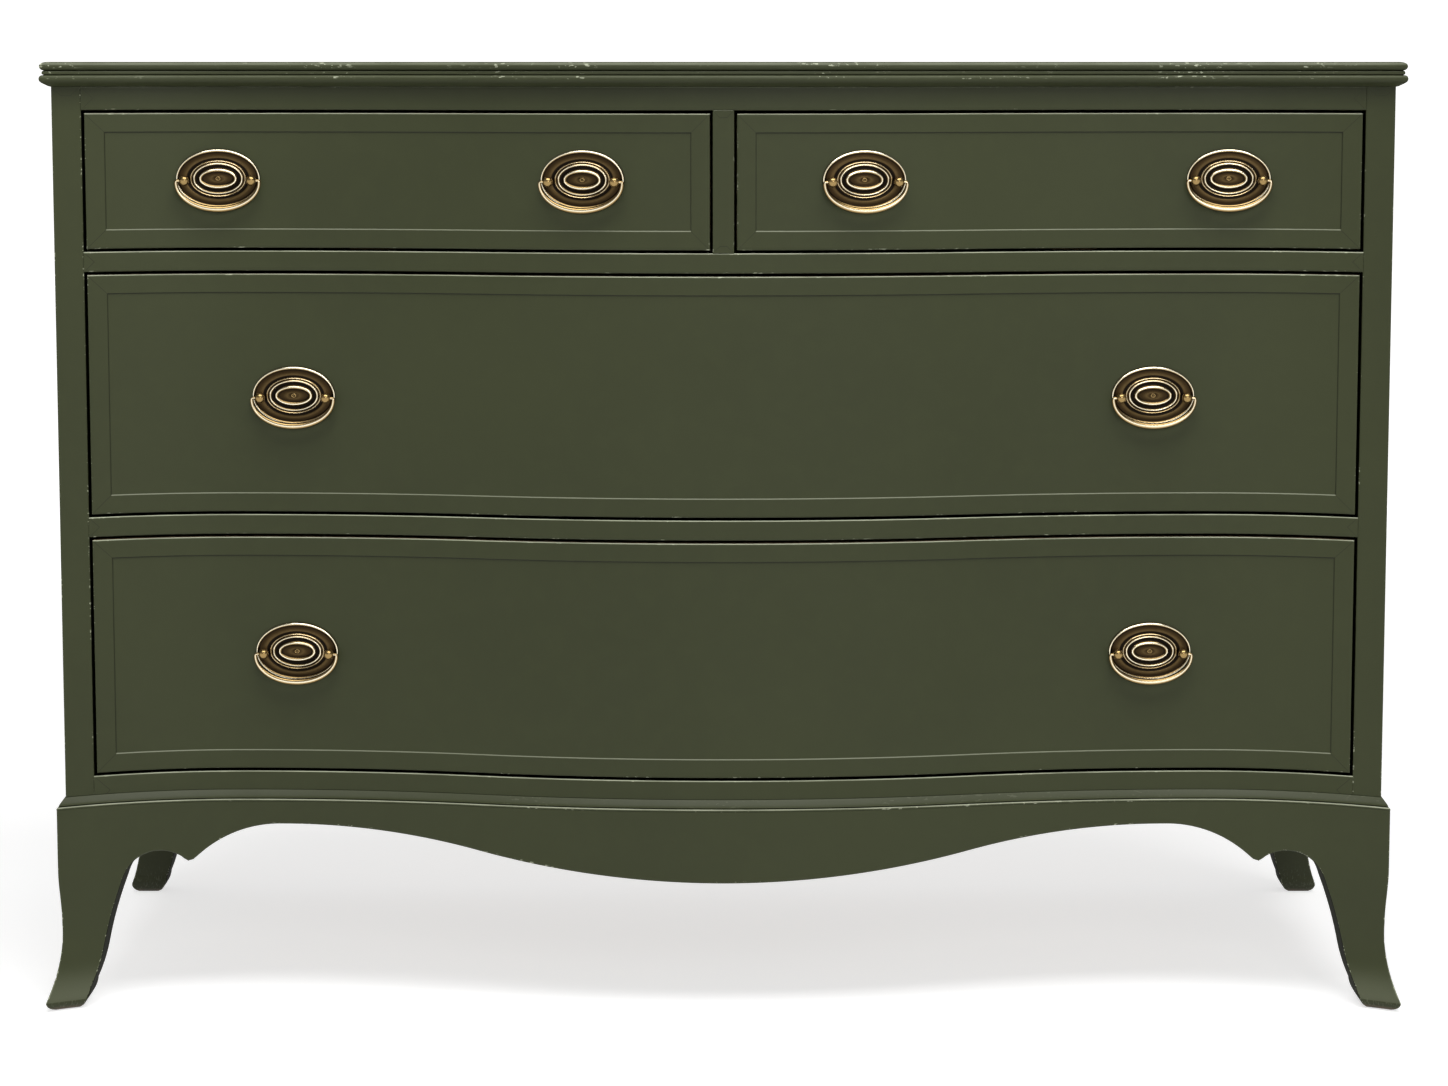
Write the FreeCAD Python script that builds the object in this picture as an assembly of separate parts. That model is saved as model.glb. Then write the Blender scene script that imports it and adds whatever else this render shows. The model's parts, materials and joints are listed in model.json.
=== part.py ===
"""Serpentine-front chest of drawers on splayed French feet.

Millimetres. X runs to the right, -Y to the front and Z up. The origin is on the floor, under the middle.
"""

import FreeCAD, Part
import math
import os

from FreeCAD import Vector

os.makedirs("parts", exist_ok=True)

# Overall sizes
CASE_WIDTH = 1200.0
HEIGHT = 860.0
DEPTH = 550.0  # from the back to the tips of the front toes
HALF = CASE_WIDTH / 2
BACK_Y = DEPTH / 2

# Serpentine front: a swell in the middle, a hollow on each side and a sweep forward to each corner
SWELL = 53.0  # how far the middle stands in front of the hollows
HOLLOW_IN = 158.0  # from the end of the case to the middle of a hollow
HOLLOW_X = HALF - HOLLOW_IN
SWELL_R = (HOLLOW_X ** 2 + SWELL ** 2) / (4 * SWELL)
CORNER_R = 330.0
SWELL_SINE = HOLLOW_X / 2 / SWELL_R

# Base: how far it stands proud of the case, and how far the toes flare past it
BASE_PROUD = 6.6
TOE_OUT = 10.3
TOE_PROUD = BASE_PROUD + TOE_OUT
CUT_ROOM = 8.0  # how far cutting shapes run past what they cut
MARGIN = TOE_PROUD + CUT_ROOM
TROUGH_Y = CORNER_R - BACK_Y - math.sqrt((CORNER_R - TOE_PROUD) ** 2 - (HALF + TOE_PROUD - HOLLOW_X) ** 2)

# Levels
BASE_TOP = 184.0
MOULDING_HEIGHT = 10.5
TOP_THICK = 22.0
TOP_UNDER = HEIGHT - TOP_THICK
RAIL_HEIGHT = 18.0
TOP_RAIL_HEIGHT = 21.0
BOTTOM_RAIL_HEIGHT = 27.5
SMALL_OPENING = 127.0
SMALL_TOP = TOP_UNDER - TOP_RAIL_HEIGHT
UPPER_RAIL_TOP = SMALL_TOP - SMALL_OPENING
LOWER_RAIL_TOP = 449.5
BOTTOM_RAIL_TOP = BASE_TOP + BOTTOM_RAIL_HEIGHT
LEVELS = (UPPER_RAIL_TOP, LOWER_RAIL_TOP, BOTTOM_RAIL_TOP)

# Case timber
POST_FACE = 24.3
POST_DEPTH = 45.0
SIDE_THICK = 18.0
SIDE_TONGUE = 6.0
BACK_THICK = 10.0
BACK_RABBET = 10.0
RAIL_DEPTH = 42.0  # at the hollows, where the rails are narrowest
TOP_RAIL_DEPTH = 24.0
MUNTIN_WIDTH = 19.0
MUNTIN_DEPTH = 45.0
BACK_RAIL_DEPTH = 50.0
RUNNER_WIDTH = 62.0
CENTRE_RUNNER_WIDTH = 110.0
DUST_THICK = 6.0
TONGUE = 8.0
TENON = 12.0
TENON_THICK = 10.0
TENON_CHEEK = 8.0  # wood in front of and behind a tenon
GUIDE_HEIGHT = 12.0
GUIDE_PROUD = 0.6  # how far drawer guides stand in from the edges of the openings
OPENING_EDGE = HALF - POST_FACE
FRAME_SIDE = HALF - SIDE_THICK
FRAME_BACK = BACK_Y - BACK_THICK
RAIL_BACK = TROUGH_Y + RAIL_DEPTH
BACK_RAIL_FRONT = FRAME_BACK - BACK_RAIL_DEPTH

# Edge of the top: how far each member stands proud of the case
TOP_NOSE = 8.3
TOP_UPPER_NOSE = 7.9
TOP_COVE = 5.6
TOP_COVE_Z = TOP_UNDER + 11.3
TOP_FIELD_BACK = 70.0  # where the moulded edge meets the plain middle of the top
TOP_EASE = 2.8

# Base moulding
LIP = 2.4
SLOPE_TOP = 1.0  # thickness left at the top of the slope

# Base frame and feet. Lengths that end in _IN are measured in from the end of the base.
BASE_THICK = 24.0
WING = 113.6  # from the end of the base to the joint between a foot's wing and the apron
CUSP_Z = 130.8
CUSP_HALF = 6.0  # half the width of the blunt point at that joint
CUSP_RISE = 1.2
WING_ARCH_IN = 86.6
WING_ARCH_Z = 139.0
KNEE_IN = 63.1
KNEE_Z = 130.0
SHIN_IN = 50.1
SHIN_Z = 110.5
ANKLE_IN = 35.1
ANKLE_Z = 53.0
TOE_IN = 15.6
WING_ARCH_BOW = -0.077  # rise of each arc as a share of its chord
KNEE_BOW = -0.0925
SHIN_BOW = -0.063
ANKLE_BOW = -0.02
TOE_BOW = 0.044
BASE_END = HALF + BASE_PROUD
WING_TIP = BASE_END - WING
WAIST_IN = 2.25  # how far the ankle is cut in
WAIST_Z = 79.0
WAIST_TOP_Z = 130.0
TOE_Z = 9.0
TOE_UNDERCUT = 8.0
TOE_ROUND = 2.5
TOE_ROUND_Z = 3.5
TOE_SWEEP = 4.0  # depth of the hollow between ankle and toe
FLARE_FLATS = 3
LEG_BLOCK = 68.0
APRON_ARCH_IN = 91.0  # from the joint with the wing to the top of the arch
APRON_ARCH_Z = 163.2
APRON_DROP_Z = 118.0
APRON_TURN = 0.56  # share of the run from the drop to the arch at which the curve turns over
APRON_FLAT = 6.0
SIDE_ARCH_Z = 158.5
SIDE_DROP_Z = 137.0
SIDE_ARCH_SHARE = 0.6
SIDE_FLAT = 6.0
BACK_APRON_Z = 137.0
BLOCK = 30.0

# Drawers
GAP = 1.9  # round each drawer front
FRONT_THICK = 22.0  # at the hollows, where the fronts are thinnest
FRONT_BACK = TROUGH_Y + FRONT_THICK
DRAWER_SIDE = 12.0
DRAWER_BACK = 12.0
DRAWER_BOTTOM = 6.0
GROOVE = 6.0
BOTTOM_UP = 12.0  # from the opening's floor to the underside of the drawer bottom
BACK_DROP = 8.0  # how much lower the drawer back is than the sides
SIDE_DROP = 4.0
RUN = 0.3  # running clearance between a drawer and what carries it
BACK_ROOM = 14.0  # behind each drawer
BAND = 17.5
FIELD_DEEP = 0.9
TAIL = 15.0  # length of the half-blind dovetails
HOUSING = 5.0  # how far the drawer back is let into the sides
TAIL_SLOPE = 8.0
TAIL_SHARE = 0.68  # share of each pitch that the wide end of a tail takes
STOP = 20.0
STOP_ROOM = 2.5  # between a stop and the drawer bottom that passes over it
STOP_X = OPENING_EDGE - 255.7

# Pulls
PLATE_HALF_W = 37.5
PLATE_HALF_H = 27.0
PLATE_FIELD = 1.4
RIM_WIDTH = 2.4
RIM_OUT = 2.4
BOSS_HALF_W = 18.0
BOSS_HALF_H = 8.6
BOSS_OUT = 3.0
PLATE_BED = 2.4  # backing behind the plate, cut to the curve of the field
PLATE_SEAT = 0.3  # between that backing and the field
POST_X = 30.0
POST_R = 2.2
BALL_R = 4.3
BALL_OUT = 8.6  # from the back of the plate to the middle of the ball
NUT_R = 5.0
NUT_THICK = 3.5
NUT_SUNK = 0.5
PIN_R = 1.5
PIN_CLEAR = 0.1
PIN_IN = 2.6
PIN_END = 0.3
BAIL_HALF_W = 37.4
BAIL_DROP = 25.7
BAIL_R = 2.1
BAIL_SEGMENTS = 7
TIP_HEIGHT = 1.8
TIP_SHARE = 0.6  # width of a tip's top against its foot
SIDES = 6
OVAL_SIDES = 10
PLATE_RAISE = 1.7  # how far a plate's middle is above its bail's pins
OUTER_PULL_X = OPENING_EDGE - 118.7
INNER_PULL_X = MUNTIN_WIDTH / 2 + 116.5
WIDE_PULL_X = OPENING_EDGE - 184.7
MIDDLE_PULL_DROP = 4.0  # how far the middle drawer's pulls hang below its middle


def save(name, shape):
    """Write one node, which may hold several solids."""
    solids = shape.Solids
    result = solids[0] if len(solids) == 1 else Part.makeCompound(solids)
    result.exportStep("parts/" + name + ".step")


def box(x0, x1, y0, y1, z0, z1):
    return Part.makeBox(x1 - x0, y1 - y0, z1 - z0, Vector(x0, y0, z0))


def mirrored(shape):
    """The same piece for the other end of the chest."""
    return shape.mirror(Vector(0, 0, 0), Vector(1, 0, 0))


def joined(shapes):
    return shapes[0].multiFuse(shapes[1:]).removeSplitter()


def front_y(x, out=0.0):
    """Y of the serpentine at X, for a surface that stands out in front of the case by the given offset."""
    across = abs(x)
    if across <= (SWELL_R + out) * SWELL_SINE:
        return TROUGH_Y - SWELL + SWELL_R - math.sqrt((SWELL_R + out) ** 2 - across ** 2)
    if across <= HOLLOW_X:
        return TROUGH_Y - SWELL_R + math.sqrt((SWELL_R - out) ** 2 - (HOLLOW_X - across) ** 2)
    return TROUGH_Y - CORNER_R + math.sqrt((CORNER_R - out) ** 2 - (across - HOLLOW_X) ** 2)


POST_BACK = front_y(HALF) + POST_DEPTH
CORNER_Y = front_y(BASE_END, BASE_PROUD)
FRONT_WING_Y = CORNER_Y + WING
REAR_WING_Y = BACK_Y - WING


def front_edges(x0, x1, out):
    """Arcs along the serpentine from X0 to X1 at a parallel offset."""
    change = (SWELL_R + out) * SWELL_SINE
    stops = [x0] + [x for x in (-HOLLOW_X, -change, change, HOLLOW_X) if x0 < x < x1] + [x1]
    edges = []
    for a, b in zip(stops, stops[1:]):
        points = [Vector(x, front_y(x, out), 0) for x in (a, (a + b) / 2, b)]
        edges.append(Part.Arc(*points).toShape())
    return edges


def closed_slab(front, back, z0, z1):
    """Upright solid between a front run of edges and a back run that goes the same way."""
    ends = []
    for at in (0, -1):
        ends.append(Part.makeLine(front[at].Vertexes[at].Point, back[at].Vertexes[at].Point))
    face = Part.Face(Part.Wire(Part.__sortEdges__(front + back + ends)))
    face.translate(Vector(0, 0, z0))
    return face.extrude(Vector(0, 0, z1 - z0))


def layer(x0, x1, out, back, z0, z1):
    """Serpentine slab of even thickness between two parallel offsets."""
    return closed_slab(front_edges(x0, x1, out), front_edges(x0, x1, back), z0, z1)


def board(x0, x1, out, y1, z0, z1):
    """Slab with a serpentine front and a straight back at Y1."""
    back = Part.makeLine(Vector(x0, y1, 0), Vector(x1, y1, 0))
    return closed_slab(front_edges(x0, x1, out), [back], z0, z1)


def outline(points):
    """Closed wire in the XZ plane. A third value, an arc's rise over its chord, makes an arc of a line."""
    edges = []
    ring = points + [points[0]]
    for a, b in zip(ring, ring[1:]):
        p, q = Vector(a[0], 0, a[1]), Vector(b[0], 0, b[1])
        if len(b) == 2:
            edges.append(Part.makeLine(p, q))
            continue
        along = q.sub(p)
        side = Vector(along.z, 0, -along.x).multiply(b[2])
        middle = p.add(q).multiply(0.5).add(side)
        edges.append(Part.Arc(p, middle, q).toShape())
    return Part.Wire(edges)


def along_y(wire, y0, y1, x=0.0):
    """Solid from an XZ wire run along Y."""
    face = Part.Face(wire)
    face.translate(Vector(x, y0, 0))
    return face.extrude(Vector(0, y1 - y0, 0))


def along_x(wire, x0, x1):
    """Solid from a wire whose first coordinate stands for Y, run along X."""
    face = Part.Face(wire)
    face.rotate(Vector(0, 0, 0), Vector(0, 0, 1), 90)
    face.translate(Vector(x0, 0, 0))
    return face.extrude(Vector(x1 - x0, 0, 0))


def turned_front(profile, x, y, radius, convex, start, sweep):
    """One arc's length of a front moulding, turned about the arc's centre from an (offset, Z) profile."""
    wire = outline(profile)
    if not convex:
        wire = wire.mirror(Vector(0, 0, 0), Vector(1, 0, 0))
    wire.translate(Vector(radius, 0, 0))
    facing = start - 90 if convex else start + 90
    wire.rotate(Vector(0, 0, 0), Vector(0, 0, 1), facing)
    wire.translate(Vector(x, y, 0))
    return Part.Face(wire).revolve(Vector(x, y, 0), Vector(0, 0, 1), sweep)


def swept_front(profile, ends):
    """Profile run along the whole serpentine, out to X = ends on both sides."""
    change = math.degrees(math.asin(SWELL_SINE))
    far = math.degrees(math.asin((ends - HOLLOW_X) / CORNER_R))
    lengths = [turned_front(profile, 0, TROUGH_Y - SWELL + SWELL_R, SWELL_R, True, -change, 2 * change)]
    for side in (-1, 1):
        x = side * HOLLOW_X
        lengths.append(turned_front(profile, x, TROUGH_Y - SWELL_R, SWELL_R, False, 0, side * change))
        lengths.append(turned_front(profile, x, TROUGH_Y - CORNER_R, CORNER_R, False, 0, -side * far))
    return joined(lengths)


def top_profile():
    """Edge of the top: a lower nose, a cove and an upper nose."""
    return [
        (-TOP_FIELD_BACK, TOP_UNDER),
        (TOP_NOSE - TOP_EASE, TOP_UNDER),
        (TOP_NOSE, TOP_UNDER + TOP_EASE),
        (TOP_NOSE, TOP_COVE_Z - TOP_EASE),
        (TOP_COVE, TOP_COVE_Z),
        (TOP_UPPER_NOSE, TOP_COVE_Z + TOP_EASE),
        (TOP_UPPER_NOSE, HEIGHT - TOP_EASE),
        (TOP_UPPER_NOSE - TOP_EASE, HEIGHT),
        (-TOP_FIELD_BACK, HEIGHT),
    ]


def top_panel():
    """The front edge follows the serpentine and the end edges run straight, so the corners are mitred."""
    nosed = swept_front(top_profile(), HALF + MARGIN / 2)
    overlap = TOP_FIELD_BACK - TOP_NOSE
    field = board(-HALF - MARGIN / 2, HALF + MARGIN / 2, -overlap, BACK_Y, TOP_UNDER, HEIGHT)
    end = along_y(outline(top_profile()), -CASE_WIDTH, BACK_Y, HALF)
    middle = box(overlap - HALF, HALF - overlap, -CASE_WIDTH, BACK_Y, TOP_UNDER, HEIGHT)
    return joined([nosed, field]).common(joined([middle, end, mirrored(end)]))


def moulding_profile():
    """Base moulding: a small lip and a slope that dies into the case."""
    top = BASE_TOP + MOULDING_HEIGHT
    return [
        (0.0, BASE_TOP),
        (BASE_PROUD, BASE_TOP),
        (BASE_PROUD, BASE_TOP + LIP),
        (SLOPE_TOP, top),
        (0.0, top),
    ]


def base_moulding():
    """Three lengths round the case, with mitred front corners."""
    run = swept_front(moulding_profile(), HALF + MARGIN / 2)
    right = along_y(outline(moulding_profile()), -CASE_WIDTH, BACK_Y, HALF)
    slope = (front_y(HALF) - CORNER_Y) / BASE_PROUD
    near, far = HALF - MARGIN / 2, HALF + MARGIN / 2
    near_y = front_y(HALF) + slope * MARGIN / 2
    far_y = front_y(HALF) - slope * MARGIN / 2
    plan = [(near, near_y), (far, far_y), (far, -CASE_WIDTH), (near, -CASE_WIDTH)]
    corners = [Vector(x, y, 0) for x, y in plan + plan[:1]]
    ahead = Part.Face(Part.makePolygon(corners)).extrude(Vector(0, 0, HEIGHT))
    middle = box(-near, near, -CASE_WIDTH, BACK_Y, 0, HEIGHT)
    front = run.common(joined([ahead, mirrored(ahead), middle]))
    right = right.cut(ahead)
    return Part.makeCompound([front, right, mirrored(right)])


def wing_outline():
    """Front view of the right foot and its wing, down to the floor and out past the toe."""
    return [
        (WING_TIP, BASE_TOP),
        (WING_TIP, CUSP_Z),
        (WING_TIP + CUSP_HALF, CUSP_Z + CUSP_RISE),
        (BASE_END - WING_ARCH_IN, WING_ARCH_Z, WING_ARCH_BOW),
        (BASE_END - KNEE_IN, KNEE_Z, KNEE_BOW),
        (BASE_END - SHIN_IN, SHIN_Z, SHIN_BOW),
        (BASE_END - ANKLE_IN, ANKLE_Z, ANKLE_BOW),
        (BASE_END - TOE_IN, 0.0, TOE_BOW),
        (HALF + MARGIN, 0.0),
        (HALF + MARGIN, BASE_TOP),
    ]


def side_wing(front):
    """The same outline laid along the end of the chest as (Y, Z), from its front or back corner."""
    start, way = (CORNER_Y, 1) if front else (BACK_Y, -1)
    place = []
    for point in wing_outline():
        y = start + way * (BASE_END - point[0])
        place.append((y, point[1]) + tuple(-way * bow for bow in point[2:]))
    return place


def flare_profile(depth):
    """Outer line of a foot as (offset from the case, Z): upright, cut in at the ankle, flared at the toe."""
    out, rise = TOE_OUT + WAIST_IN, WAIST_Z - TOE_Z
    sweep = []
    for i in range(FLARE_FLATS + 1):
        share = i / FLARE_FLATS
        hollow = 4 * TOE_SWEEP * share * (1 - share)
        sweep.append((TOE_PROUD - out * share - hollow, TOE_Z + rise * share))
    inner = [(-depth, BASE_TOP), (-depth, 0.0)]
    toe = [(TOE_PROUD - TOE_UNDERCUT, 0.0), (TOE_PROUD - TOE_ROUND, TOE_ROUND_Z)]
    return inner + toe + sweep + [(BASE_PROUD, WAIST_TOP_Z), (BASE_PROUD, BASE_TOP)]


def right_foot(front):
    """A tapered, splayed leg with a wing along the end of the base, and in front one along the face too."""
    far = HALF + MARGIN
    leg_x, wing_x = BASE_END - LEG_BLOCK, BASE_END - BASE_THICK
    side_view = along_x(outline(side_wing(front)), 0, far)
    front_view = along_y(outline(wing_outline()), -CASE_WIDTH, CASE_WIDTH)
    end_flare = along_y(outline(flare_profile(HALF)), -CASE_WIDTH, CASE_WIDTH, HALF)
    if not front:
        leg = box(leg_x, far, BACK_Y - LEG_BLOCK, BACK_Y, 0, BASE_TOP).common(front_view)
        wing = box(wing_x, far, REAR_WING_Y, BACK_Y, 0, BASE_TOP)
        return joined([leg, wing]).common(side_view).common(end_flare)
    leg = box(leg_x, far, -CASE_WIDTH, CORNER_Y + LEG_BLOCK, 0, BASE_TOP).common(front_view)
    wing = box(wing_x, far, -CASE_WIDTH, FRONT_WING_Y, 0, BASE_TOP)
    corner = joined([leg, wing]).common(side_view)
    face = layer(WING_TIP, far, MARGIN, BASE_PROUD - BASE_THICK, 0, BASE_TOP).common(front_view)
    turn = -math.degrees(math.asin((far - HOLLOW_X) / CORNER_R))
    profile = flare_profile(CORNER_R / 2)
    front_flare = turned_front(profile, HOLLOW_X, TROUGH_Y - CORNER_R, CORNER_R, False, 0, turn)
    return joined([corner, face]).common(end_flare).common(front_flare)


def ogee(start, end, share):
    """Two tangent arcs from a low point up to a high one, level at both ends."""
    run, rise = end.x - start.x, end.z - start.z
    angle = 2 * math.atan(rise / run)
    low_r, high_r = share * run / math.sin(angle), (1 - share) * run / math.sin(angle)

    def on_low(turn):
        return start.add(Vector(low_r * math.sin(turn), 0, low_r * (1 - math.cos(turn))))

    def on_high(turn):
        return end.sub(Vector(high_r * math.sin(turn), 0, high_r * (1 - math.cos(turn))))

    low = Part.Arc(start, on_low(angle / 2), on_low(angle)).toShape()
    high = Part.Arc(on_low(angle), on_high(angle / 2), end).toShape()
    return [low, high]


def shoulder(start, end):
    """Arc that leaves the level at its start and falls to its end."""
    run, fall = end.x - start.x, start.z - end.z
    radius = (run ** 2 + fall ** 2) / (2 * fall)
    half_angle = math.asin(run / radius) / 2
    middle = start.add(Vector(radius * math.sin(half_angle), 0, -radius * (1 - math.cos(half_angle))))
    return Part.Arc(start, middle, end).toShape()


def scallop(drop, arch, flat, cusp):
    """Half of an apron's outline: its drop, its arch, the cusp at the wing and the straight top."""
    level = arch.add(Vector(flat, 0, 0))
    lip = cusp.add(Vector(-CUSP_HALF, 0, CUSP_RISE))
    corner, centre = Vector(cusp.x, 0, BASE_TOP), Vector(drop.x, 0, BASE_TOP)
    edges = ogee(drop, arch, APRON_TURN) + [Part.makeLine(arch, level), shoulder(level, lip)]
    return Part.Wire(edges + Part.makePolygon([lip, cusp, corner, centre, drop]).Edges)


def front_apron():
    """Apron between the front feet, with a long drop in the middle and an arch towards each foot."""
    drop, arch = Vector(0, 0, APRON_DROP_Z), Vector(WING_TIP - APRON_ARCH_IN, 0, APRON_ARCH_Z)
    half = along_y(scallop(drop, arch, APRON_FLAT, Vector(WING_TIP, 0, CUSP_Z)), -CASE_WIDTH, CASE_WIDTH)
    slab = layer(-WING_TIP, WING_TIP, BASE_PROUD, BASE_PROUD - BASE_THICK, 0, BASE_TOP)
    return slab.common(joined([half, mirrored(half)]))


def side_apron():
    """Right end apron, a shallower version of the front's."""
    middle = (FRONT_WING_Y + REAR_WING_Y) / 2
    drop = Vector(middle, 0, SIDE_DROP_Z)
    arch = Vector(middle + (REAR_WING_Y - middle) * SIDE_ARCH_SHARE, 0, SIDE_ARCH_Z)
    wire = scallop(drop, arch, SIDE_FLAT, Vector(REAR_WING_Y, 0, CUSP_Z))
    rear = along_x(wire, BASE_END - BASE_THICK, BASE_END)
    return joined([rear, rear.mirror(Vector(0, middle, 0), Vector(0, 1, 0))])


def back_apron():
    """Plain board between the rear legs."""
    edge = BASE_END - LEG_BLOCK
    return box(-edge, edge, BACK_Y - SIDE_THICK, BACK_Y, BACK_APRON_Z, BASE_TOP)


def corner_post():
    """Right post, with its front following the curve."""
    return board(OPENING_EDGE, HALF, 0, POST_BACK, BASE_TOP, TOP_UNDER)


def side_panel():
    """Right side panel, tongued into the post and rabbeted for the back."""
    panel = box(FRAME_SIDE, HALF, POST_BACK, BACK_Y, BASE_TOP, TOP_UNDER)
    centre = HALF - SIDE_THICK / 2
    half = SIDE_TONGUE / 2
    tongue = box(centre - half, centre + half, POST_BACK - TONGUE, POST_BACK, BASE_TOP, TOP_UNDER)
    rabbet = box(FRAME_SIDE, FRAME_SIDE + BACK_RABBET, FRAME_BACK, BACK_Y, BASE_TOP, TOP_UNDER)
    return joined([panel, tongue]).cut(rabbet)


def back_panel():
    reach = FRAME_SIDE + BACK_RABBET
    return box(-reach, reach, FRAME_BACK, BACK_Y, BASE_TOP, TOP_UNDER)


def front_rail(z1, height, y1):
    """Rail with a serpentine front, a straight back and a tenon at each end."""
    body = board(-OPENING_EDGE, OPENING_EDGE, 0, y1, z1 - height, z1)
    centre = z1 - height / 2
    low, high = centre - TENON_THICK / 2, centre + TENON_THICK / 2
    y0, y1 = POST_BACK - POST_DEPTH + 2 * TENON_CHEEK, POST_BACK - TENON_CHEEK
    right = box(OPENING_EDGE, OPENING_EDGE + TENON, y0, y1, low, high)
    return joined([body, right, mirrored(right)])


def muntin():
    """Upright between the small drawers, tenoned into the rails above and below."""
    half = MUNTIN_WIDTH / 2
    y1 = front_y(0) + MUNTIN_DEPTH
    body = board(-half, half, 0, y1, UPPER_RAIL_TOP, SMALL_TOP)
    edge = half - TENON_CHEEK / 2
    tenon = box(
        -edge, edge, front_y(0) + TENON_CHEEK, y1 - TENON_CHEEK, UPPER_RAIL_TOP - TENON, SMALL_TOP + TENON
    )
    return joined([body, tenon])


def tongue_levels(level):
    """Heights between which a drawer frame's dust panel and tongues lie."""
    centre = level - RAIL_HEIGHT / 2
    return centre - DUST_THICK / 2, centre + DUST_THICK / 2


def back_rails():
    """Rear rails of the three drawer frames, and one under the top."""
    rails = []
    for z1, height in [(level, RAIL_HEIGHT) for level in LEVELS] + [(TOP_UNDER, TOP_RAIL_HEIGHT)]:
        rails.append(box(-FRAME_SIDE, FRAME_SIDE, BACK_RAIL_FRONT, FRAME_BACK, z1 - height, z1))
    return rails


def runner(x0, x1, guide_x0, guide_x1, level):
    """Runner with a tongue into the rail at each end and a guide on top."""
    body = box(x0, x1, RAIL_BACK, BACK_RAIL_FRONT, level - RAIL_HEIGHT, level)
    guide = box(guide_x0, guide_x1, RAIL_BACK, BACK_RAIL_FRONT, level, level + GUIDE_HEIGHT)
    low, high = tongue_levels(level)
    tongue_x0, tongue_x1 = max(x0, -OPENING_EDGE + TONGUE), min(x1, OPENING_EDGE - TONGUE)
    tongue = box(tongue_x0, tongue_x1, RAIL_BACK - TONGUE, BACK_RAIL_FRONT + TONGUE, low, high)
    return joined([body, guide, tongue])


def runners():
    """A runner at each end of every level, and a wide one under the muntin."""
    half, guide_half = CENTRE_RUNNER_WIDTH / 2, MUNTIN_WIDTH / 2 + GUIDE_PROUD
    result = [runner(-half, half, -guide_half, guide_half, UPPER_RAIL_TOP)]
    for level in LEVELS:
        right = runner(FRAME_SIDE - RUNNER_WIDTH, FRAME_SIDE, OPENING_EDGE - GUIDE_PROUD, FRAME_SIDE, level)
        result += [right, mirrored(right)]
    return result


def kickers():
    """Strips under the top that keep the small drawers level when they are pulled out."""
    y0 = TROUGH_Y + TOP_RAIL_DEPTH
    half = CENTRE_RUNNER_WIDTH / 2
    right = box(FRAME_SIDE - RUNNER_WIDTH, FRAME_SIDE, y0, BACK_RAIL_FRONT, SMALL_TOP, TOP_UNDER)
    return [right, mirrored(right), box(-half, half, y0, BACK_RAIL_FRONT, SMALL_TOP, TOP_UNDER)]


def dust_panels():
    """Thin panels held in grooves between the rails and runners of each drawer frame."""
    panels = []
    inner = FRAME_SIDE - RUNNER_WIDTH + TONGUE
    half = CENTRE_RUNNER_WIDTH / 2 - TONGUE
    for level in LEVELS:
        low, high = tongue_levels(level)
        spans = [(half, inner), (-inner, -half)] if level == UPPER_RAIL_TOP else [(-inner, inner)]
        for x0, x1 in spans:
            panels.append(box(x0, x1, RAIL_BACK - TONGUE, BACK_RAIL_FRONT + TONGUE, low, high))
    return panels


def glue_blocks():
    """Blocks that tie the base frame to the case, and a pair of stops behind every drawer front."""
    inner = BASE_END - BASE_THICK
    low = BASE_TOP - BLOCK
    blocks = []
    for y in (FRONT_WING_Y + BLOCK, REAR_WING_Y - 2 * BLOCK):
        block = box(inner - BLOCK, inner, y, y + BLOCK, low, BASE_TOP)
        blocks += [block, mirrored(block)]
    back = BASE_PROUD - BASE_THICK
    for x in (-HALF / 2, 0, HALF / 2):
        y1 = front_y(x, back) + BLOCK
        blocks.append(board(x - BLOCK / 2, x + BLOCK / 2, back, y1, low, BASE_TOP))
    y0 = FRONT_BACK + RUN
    for level in LEVELS:
        for x in (-STOP_X, STOP_X):
            blocks.append(box(x - STOP, x + STOP, y0, RAIL_BACK - RUN, level, level + BOTTOM_UP - STOP_ROOM))
    return blocks


def tails(wide_y, narrow_y, z0, z1, count, x0, x1):
    """Row of dovetails between two heights, each widest at one Y and narrowest at the other."""
    pitch = (z1 - z0) / count
    wide = pitch * TAIL_SHARE / 2
    narrow = wide - abs(narrow_y - wide_y) / TAIL_SLOPE
    row = []
    for i in range(count):
        z = z0 + pitch * (i + 0.5)
        shape = [(wide_y, z - wide), (wide_y, z + wide), (narrow_y, z + narrow), (narrow_y, z - narrow)]
        row.append(along_x(outline(shape), x0, x1))
    return row


def drawer_front(x0, x1, z0, z1):
    """Front sawn to the serpentine and straight inside, with a flat band round a slightly sunk field."""
    body = board(x0, x1, 0, FRONT_BACK, z0, z1)
    return body.cut(layer(x0 + BAND, x1 - BAND, MARGIN / 2, -FIELD_DEEP, z0 + BAND, z1 - BAND))


def drawer_side(x0, x1, z0, z1, back_y, count):
    """Drawer side, with half-blind dovetails into the front."""
    panel = box(x0, x1, FRONT_BACK, back_y, z0, z1)
    return joined([panel] + tails(FRONT_BACK - TAIL, FRONT_BACK, z0 + SIDE_DROP, z1, count, x0, x1))


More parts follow.
